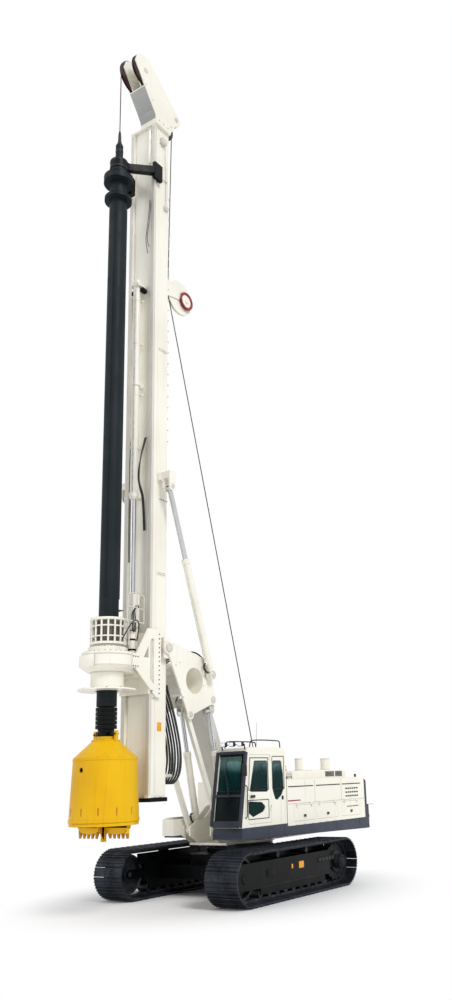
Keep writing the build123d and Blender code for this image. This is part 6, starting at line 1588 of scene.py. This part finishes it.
    def foot_bundle(self) -> None:
        """Hangs the bundle of hoses behind the mast's foot, its post, and the foot's bolts."""
        hoses = Piece("foot_hoses", "mast", HOSE)
        for number in range(9):
            left = -0.10 + 0.07 * number
            sway = 0.035 * ((number * 5) % 4)
            hoses.line([at(3.74, left, 5.5), at(3.62 - sway, left, 5.15), at(3.36 - sway, left, 4.5),
                        at(3.16 - sway, left, 3.8 - sway), at(3.24 - sway, left, 3.15), at(3.55, left, 2.95),
                        at(3.76, left, 3.1)], 0.026)
        hoses.done()
        post = Piece("foot_post", "mast", CREAM_PAINTED_SHADE)
        post.block(at(3.72, 0.3, 3.55), (0.12, 0.06, 0.5), 0.01)
        post.block(at(3.55, 0.3, 3.2), (0.4, 0.06, 0.08), 0.01)
        post.done()
        bolts = Piece("foot_bolts", "mast", DARK)
        bolts.bolts([at(4.398, left, 2.63) for left in (-0.42, -0.2, 0.0, 0.2, 0.42)], (1, 0, 0), 0.018, 0.006)
        bolts.bolts([at(forward, side * 0.5, 2.68) for forward in (4.0, 4.2) for side in Side], UP, 0.018, 0.014)
        bolts.done()


@dataclass
class HeadTrim:
    """Rims, bolts, guards, the fold cylinder and a plate of painted shade on the front face of the mast head."""

    faces: tuple[tuple[Side, float], ...] = ((Side.LEFT, 0.55), (Side.RIGHT, -0.08))
    wheel: tuple[float, float, float] = (2.50, 0.10, 17.58)
    fold: tuple[float, float] = (4.43, 0.28)

    def build(self) -> None:
        """Makes the head's small parts and the sheaves' hubs and rims."""
        bolts = Piece("head_bolts", "mast", CREAM_PAINTED_SHADE)
        for side, face in self.faces:
            bolts.bolts([at(forward, face, up) for forward, up in
                         ((3.9, 22.85), (4.1, 22.85), (4.3, 22.85), (4.6, 23.4), (4.9, 23.75), (3.75, 23.0))],
                        side.out, 0.018, 0.014)
        bolts.done()
        ram = Piece("fold_cylinder", "mast", CREAM)
        ram.rod(at(*self.fold, 21.35), at(*self.fold, 22.2), 0.042, 20, bevel=0.006)
        for up, radius in ((21.35, 0.045), (22.55, 0.04)):
            ram.rod(at(4.36, self.fold[1], up), at(4.46, self.fold[1], up), radius, 16)
        ram.done()
        rod = Piece("fold_rod", "mast", CHROME)
        rod.rod(at(*self.fold, 22.2), at(*self.fold, 22.56), 0.024, 16)
        rod.done()
        guide = Piece("rope_guide", "mast", CREAM_PAINTED_SHADE)
        for side in Side:
            guide.block(at(3.62, side * 0.06, 21.2), (0.34, 0.03, 0.3), 0.008)
        guide.block(at(3.66, 0.0, 22.76), (0.16, 0.16, 0.1), 0.012)
        guide.done()
        # A grey plate on the head's forward and downward faces: painted shade, not a part of the machine.
        shade = Piece("head_face_painted_shade", "mast", HEAD_FACE_SHADE)
        for back, low, front, high, drop in ((4.568, 23.1, 4.96, 23.657, -0.004),
                                             (4.406, 22.78, 4.568, 23.097, -0.003)):
            shade.plate([at(back, 0.53, low), at(back, -0.06, low), at(front, -0.06, high), at(front, 0.53, high)],
                        (0.006, 0, drop), 0.001)
        shade.done()
        lamps = Piece("head_lamp", "mast", RED_LAMP)
        lamps.turned([(0, 0.1), (0.03, 0.095), (0.045, 0.06), (0.045, 0.0)], at(4.0, 0.3, 22.76), UP, 20)
        lamps.done()
        for node in ("head_sheave_main", "head_sheave_aux", "head_sheave_back"):
            self.sheave(node)
        self.small_wheel()

    def small_wheel(self) -> None:
        """Adds the red guide wheel on the end of the pulley's bracket."""
        wheel = Piece("guide_wheel", "mast", RED)
        foot = at(*self.wheel)
        wheel.turned([(0.20, 0.012), (0.22, 0.03), (0.285, 0.034), (0.29, 0.02), (0.262, 0.0), (0.29, -0.02),
                      (0.285, -0.03), (0.22, -0.024), (0.20, -0.012), (0.20, 0.012)], foot, ACROSS, 48)
        wheel.done()
        hub = Piece("guide_wheel_hub", "mast", CREAM)
        hub.turned([(0, 0.04), (0.06, 0.04), (0.07, 0.03), (0.07, 0.012), (0.205, 0.01), (0.205, -0.01),
                    (0.07, -0.012), (0, -0.03)], foot, ACROSS, 36)
        hub.done()

    def sheave(self, node: str) -> None:
        """Adds a hub and dark rims to a sheave."""
        low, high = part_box(node)
        middle = (low + high) / 2
        radius = (high[2] - low[2]) / 2
        half = (high[1] - low[1]) / 2
        piece = Piece(f"{node}_rings", node, DARK)
        for side in Side:
            piece.turned([(0.07, half - 0.004), (0.12, half - 0.004), (0.115, half + 0.001), (0.075, half + 0.001)],
                         middle, side.out, 28)
            piece.turned([(radius - 0.05, half - 0.012), (radius - 0.045, half + 0.002),
                          (radius + 0.001, half + 0.002), (radius + 0.001, half - 0.012)], middle, side.out, 64)
        piece.done()


# ------------------------------------------------------------------ drive, kelly and bucket
@dataclass
class CarriageTrim:
    """Bolts down the sled, the hoses to the drive and the rail over it."""

    side: float = 0.548
    low: float = 5.15

    def build(self) -> None:
        """Makes bolts along the rear edge, hoses and the rail."""
        bolts = Piece("sled_bolts", "carriage", DARK)
        for side in Side:
            bolts.bolts([at(4.13, side * self.side, self.low + 0.1 + 0.118 * n) for n in range(14)], side.out,
                        0.014, 0.014)
            bolts.bolts([at(4.4, side * self.side, self.low + 0.15)], side.out, 0.016, 0.014)
        bolts.done()
        hoses = Piece("drive_hoses_top", "carriage", HOSE)
        for number in range(3):
            left = 0.34 + 0.05 * number
            lift = 0.06 * number
            for side in Side:
                hoses.line([at(4.66, side * left * 0.7, 7.45), at(4.85, side * left, 7.4 + lift),
                            at(5.05, side * (left + 0.08), 7.2 + lift), at(5.0, side * (left + 0.1), 6.95),
                            at(4.88, side * left * 0.9, 6.78)], 0.015)
        hoses.line([at(5.05, 0.62, 6.5), at(5.12, 0.78, 6.85), at(5.3, 0.86, 7.0), at(5.5, 0.82, 6.86),
                    at(5.62, 0.66, 6.45)], 0.016)
        hoses.done()
        rail = Piece("drive_rail", "carriage", CREAM_PAINTED_SHADE)
        rail.line([at(4.70, 0.52, 6.98), at(4.72, 0.54, 7.68), at(5.0, 0.60, 7.76), at(5.34, 0.58, 7.68),
                   at(5.36, 0.58, 6.98)], 0.017, False)
        rail.line([at(4.71, 0.54, 7.36), at(5.35, 0.58, 7.36)], 0.013, False)
        rail.line([at(4.70, 0.52, 7.0), at(5.36, 0.58, 7.0)], 0.02, False)
        rail.line([at(5.02, 0.56, 7.0), at(5.02, 0.60, 7.74)], 0.013, False)
        rail.line([at(4.72, 0.52, 7.0), at(4.80, 0.40, 6.9), at(4.87, 0.3, 6.78)], 0.02, False)
        rail.line([at(5.34, 0.58, 7.0), at(5.30, 0.60, 6.6), at(5.28, 0.56, 6.38)], 0.018, False)
        rail.done()


@dataclass
class GearboxTrim:
    """Bands, bolt rings, a blank plate and motor caps on the rotary drive's housing."""

    reach: float = DRILL_AXIS
    radius: float = 0.65
    top: float = 6.20

    def build(self) -> None:
        """Makes the gearbox's and motors' trim."""
        fittings = Piece("gearbox_bands", "carriage", CREAM_PAINTED_SHADE)
        foot = at(self.reach, 0, self.top)
        for low, high in ((-0.085, -0.05), (-0.36, -0.325)):
            fittings.turned(band(self.radius - 0.01, self.radius + 0.008, low, high, 0.005), foot, UP, 64)
        fittings.done()
        bolts = Piece("gearbox_bolts", "carriage", DARK)
        bolts.bolts(ring_places(at(self.reach, 0, self.top), 0.60, 28), UP, 0.016, 0.018)
        bolts.bolts(ring_places(at(self.reach, 0, 6.33), 0.475, 20), UP, 0.010, 0.014)
        for side in Side:
            bolts.bolts([at(5.04 + 0.08 * n, side * 0.66, up) for n in range(3) for up in (5.86, 6.1)],
                        side.out, 0.014, 0.012)
        bolts.done()
        plate = Piece("drive_plate", "carriage", CREAM)
        plate.block(at(self.reach + self.radius + 0.012, -0.05, 5.97), (0.02, 0.5, 0.30), 0.006)
        plate.done()
        motors = Piece("motor_trim", "carriage", BLACK)
        for side in Side:
            foot = at(4.88, side * 0.28, 6.2)
            motors.turned(band(0.101, 0.112, 0.1, 0.14), foot, UP, 28)
            motors.turned(band(0.101, 0.11, 0.36, 0.4), foot, UP, 28)
            motors.block(at(4.88, side * 0.28, 6.815), (0.11, 0.1, 0.03), 0.006)
        motors.done()


@dataclass
class SleeveTrim:
    """Flange bolts, a darker core inside the cage that is painted shade, and its bands."""

    reach: float = DRILL_AXIS

    def build(self) -> None:
        """Makes the sleeve's trim."""
        bolts = Piece("flange_bolts", "drive_sleeve", DARK)
        bolts.bolts(ring_places(at(self.reach, 0, 5.305), 0.64, 12, Axis.Z, math.tau / 24), UP, 0.018, 0.02)
        bolts.bolts(ring_places(at(self.reach, 0, 7.07), 0.425, 16), UP, 0.014, 0.014)
        bolts.done()
        # A darker steel tube behind the cage's bars: painted shade inside the cage.
        core = Piece("cage_core_shade", "drive_sleeve", CAGE_SHADE)
        core.turned(band(0.332, 0.355, 6.47, 7.0, 0.01), at(self.reach, 0, 0), UP, 48)
        core.done()
        bands = Piece("cage_bands", "drive_sleeve", CREAM)
        for up in (6.60, 6.86):
            bands.turned(band(0.43, 0.455, up - 0.02, up + 0.02, 0.005), at(self.reach, 0, 0), UP, 56)
        bands.done()


@dataclass
class KellyTrim:
    """Drive keys, flange trim, the guide's rings, the rope's socket and the stub's rings."""

    reach: float = DRILL_AXIS
    radius: float = 0.25
    guide: float = 20.5

    def build(self) -> None:
        """Makes the kelly's and the guide's trim."""
        keys = Piece("kelly_keys", "kelly_outer", KELLY)
        for place in ring_places(at(self.reach, 0, 0), self.radius + 0.006, 3, Axis.Z, 0.35):
            out = (place - at(self.reach, 0, 0)).normalized()
            turn = Matrix.Rotation(math.atan2(out.y, out.x), 3, "Z")
            keys.block(place + Vector((0, 0, 13.4)), (0.022, 0.05, 11.6), 0.004, turn)
        keys.done()
        bands = Piece("kelly_flange_trim", "kelly_outer", BLACK)
        for low, thick, radius in ((20.03, 0.22, 0.425), (19.43, 0.11, 0.39)):
            inner, waist, outer = radius - 0.02, radius - 0.004, radius + 0.004
            bands.turned([(inner, -0.002), (outer, 0.004), (outer, 0.03), (waist, 0.04), (waist, thick - 0.04),
                          (outer, thick - 0.03), (outer, thick - 0.004), (inner, thick + 0.002)],
                         at(self.reach, 0, low), UP, 56)
            bands.bolts(ring_places(at(self.reach, 0, low + thick), radius - 0.06, 16), UP, 0.016, 0.018)
        bands.done()
        ring = Piece("guide_ring_trim", "kelly_guide", DARK)
        for low in (0.02, 0.235):
            ring.turned(band(0.255, 0.268, low, low + 0.045, 0.005), at(self.reach, 0, self.guide), UP, 48)
        ring.bolts(ring_places(at(self.reach, 0, self.guide + 0.3), 0.19, 12), UP, 0.014, 0.014)
        for side in Side:
            ring.bolts([at(4.26 + 0.11 * n, side * 0.608, up) for n in range(3) for up in (20.7, 21.1)], side.out,
                       0.016, 0.014)
        ring.done()
        socket = Piece("rope_socket", "kelly_inner", DARK)
        foot = at(self.reach, 0, 21.45)
        socket.turned([(0.052, 0.0), (0.06, 0.05), (0.05, 0.12), (0.045, 0.3), (0.032, 0.42), (0.022, 0.46),
                       (0.017, 0.46), (0.017, 0.0)], foot, UP, 28)
        for low in (-0.6, -0.3):
            socket.turned(band(0.108, 0.116, low, low + 0.06, 0.01), foot, UP, 36)
        socket.done()
        hoses = Piece("stub_hoses", "kelly_inner", RUBBER)
        for number in range(4):
            hoses.turned(band(0.20, 0.206, -0.008, 0.008, 0.004),
                         at(self.reach, 0, 4.7645 - 0.106 * number), UP, 36)
        hoses.done()


@dataclass
class BucketTrim:
    """Bands, slots, pins, teeth and the pilot of the drilling bucket."""

    reach: float = DRILL_AXIS
    bottom: float = 2.18
    shoulder: float = 3.66
    radius: float = 0.83
    shoulder_radius: float = 0.765
    holder: tuple[tuple[float, float], ...] = (
        (0.06, 2.10), (0.77, 2.10), (0.74, 2.02), (0.62, 1.93), (0.40, 1.90), (0.14, 1.93), (0.06, 2.0))
    tooth_lefts: tuple[float, ...] = (0.14, 0.28, 0.42, 0.56, 0.70)
    tooth_half: float = 0.034

    def wall(self, up: float) -> float:
        """Gives the bucket's outer radius at a height."""
        share = (up - self.bottom) / (self.shoulder - self.bottom)
        return self.radius + share * (self.shoulder_radius - self.radius)

    def build(self) -> None:
        """Makes the trim of the shell and the gate."""
        axis = at(self.reach, 0, 0)
        bands = Piece("bucket_bands", "kelly_inner", YELLOW)
        for up, deep in ((2.225, 0.07), (3.62, 0.05)):
            radius = self.wall(up)
            bands.turned(band(radius - 0.006, radius + 0.012, up - deep / 2, up + deep / 2, 0.008), axis, UP, 64)
        bands.turned(band(0.32, 0.345, 4.05, 4.09, 0.005), axis, UP, 48)
        bands.done()
        slots = Piece("bucket_slots", "kelly_inner", OCHRE)
        for place in ring_places(axis, self.wall(2.42) - 0.001, 12, Axis.Z, 0.1):
            out = (place - axis).normalized()
            turn = Matrix.Rotation(math.atan2(out.y, out.x), 3, "Z")
            slots.block(place + Vector((0, 0, 2.42)), (0.008, 0.035, 0.2), 0.003, turn)
        slots.done()
        pins = Piece("bucket_pins", "kelly_inner", DARK)
        for side in Side:
            pins.rod(at(self.reach - 0.07, side * 0.35, 4.22), at(self.reach + 0.07, side * 0.35, 4.22), 0.022, 16)
            pins.rod(at(self.reach - 0.02, side * 0.24, 4.1), at(self.reach - 0.02, side * 0.24, 4.2), 0.02, 12)
        pins.line([at(self.reach + 0.19, 0.02, 4.24), at(self.reach + 0.24, 0.02, 4.26),
                   at(self.reach + 0.24, -0.02, 4.3)], 0.009)
        pins.rod(at(self.reach, -0.28, 4.235), at(self.reach, 0.28, 4.235), 0.035, 18)
        pins.done()
        self.teeth()

    def teeth(self) -> None:
        """Adds pointed teeth in their holders, the pilot, the bars behind them and the gate's rim."""
        teeth = Piece("bucket_teeth", "bucket_gate", OCHRE)
        holders = Piece("tooth_holders", "bucket_gate", YELLOW)
        for side in Side:
            outline = [at(self.reach - 0.125 * side, side * left, up) for left, up in self.holder]
            holders.plate(outline, (0.13 * side, 0, 0), 0.012)
        holders.done()
        for side in Side:
            for left in self.tooth_lefts:
                outline = [at(self.reach - back * side, side * (left - self.tooth_half), up)
                           for back, up in ((0.115, 1.99), (0.005, 1.99), (0.075, 1.80), (0.095, 1.80))]
                teeth.plate(outline, (0, side * 2 * self.tooth_half, 0), 0.006)
        for side in Side:
            teeth.plate([at(self.reach, 0.02 * side, 2.08), at(self.reach + 0.16 * side, 0.02 * side, 2.06),
                         at(self.reach + 0.10 * side, 0.02 * side, 1.90), at(self.reach, 0.02 * side, 1.745)],
                        (0, -0.03 * side, 0), 0.004)
        for side in Side:
            teeth.block(at(self.reach - 0.06 * side, side * 0.42, 2.07), (0.13, 0.68, 0.06), 0.01)
        teeth.done()
        rim = Piece("gate_rim", "bucket_gate", YELLOW)
        rim.turned([(0.80, 2.108), (0.822, 2.112), (0.822, 2.165), (0.80, 2.17)], at(self.reach, 0, 0), UP, 64)
        rim.done()


class Assembly(Protocol):
    """A group of pieces that makes itself."""

    def build(self) -> None:
        """Makes the group's pieces."""


PARTS: tuple[Assembly, ...] = (
    TrackDress(), TrackFrameTrim(), SwingRing(), CabTrim(), CabInterior(), HoodTrim(), RoofTrim(),
    CounterweightTrim(), DeckTrim(), WinchTrim(), PinCaps(),
    Ram("boom_cylinder", (1.35, 1.86), (2.01, 4.915), 0.505, 0.10, 0.06, 2.03, 1),
    Ram("mast_cylinder", (2.27, 5.85), (4.03, 10.85), 0.78, 0.105, 0.07, 3.27, 1),
    BoomTrim(), TiltFrameTrim(), MastTrim(), HeadTrim(), CarriageTrim(), GearboxTrim(), SleeveTrim(),
    KellyTrim(), BucketTrim(),
)


def main() -> None:
    """Builds every sub-assembly in order."""
    dress_nodes()
    Setting().build()
    for part in PARTS:
        LOG.info("building %s", type(part).__name__)
        part.build()


def plain(box: Iterable[Point]) -> list[list[float]]:
    """Turns a box's two corners into plain lists of numbers."""
    return [[float(value) for value in corner] for corner in box]


if __name__ == "__main__":
    main()
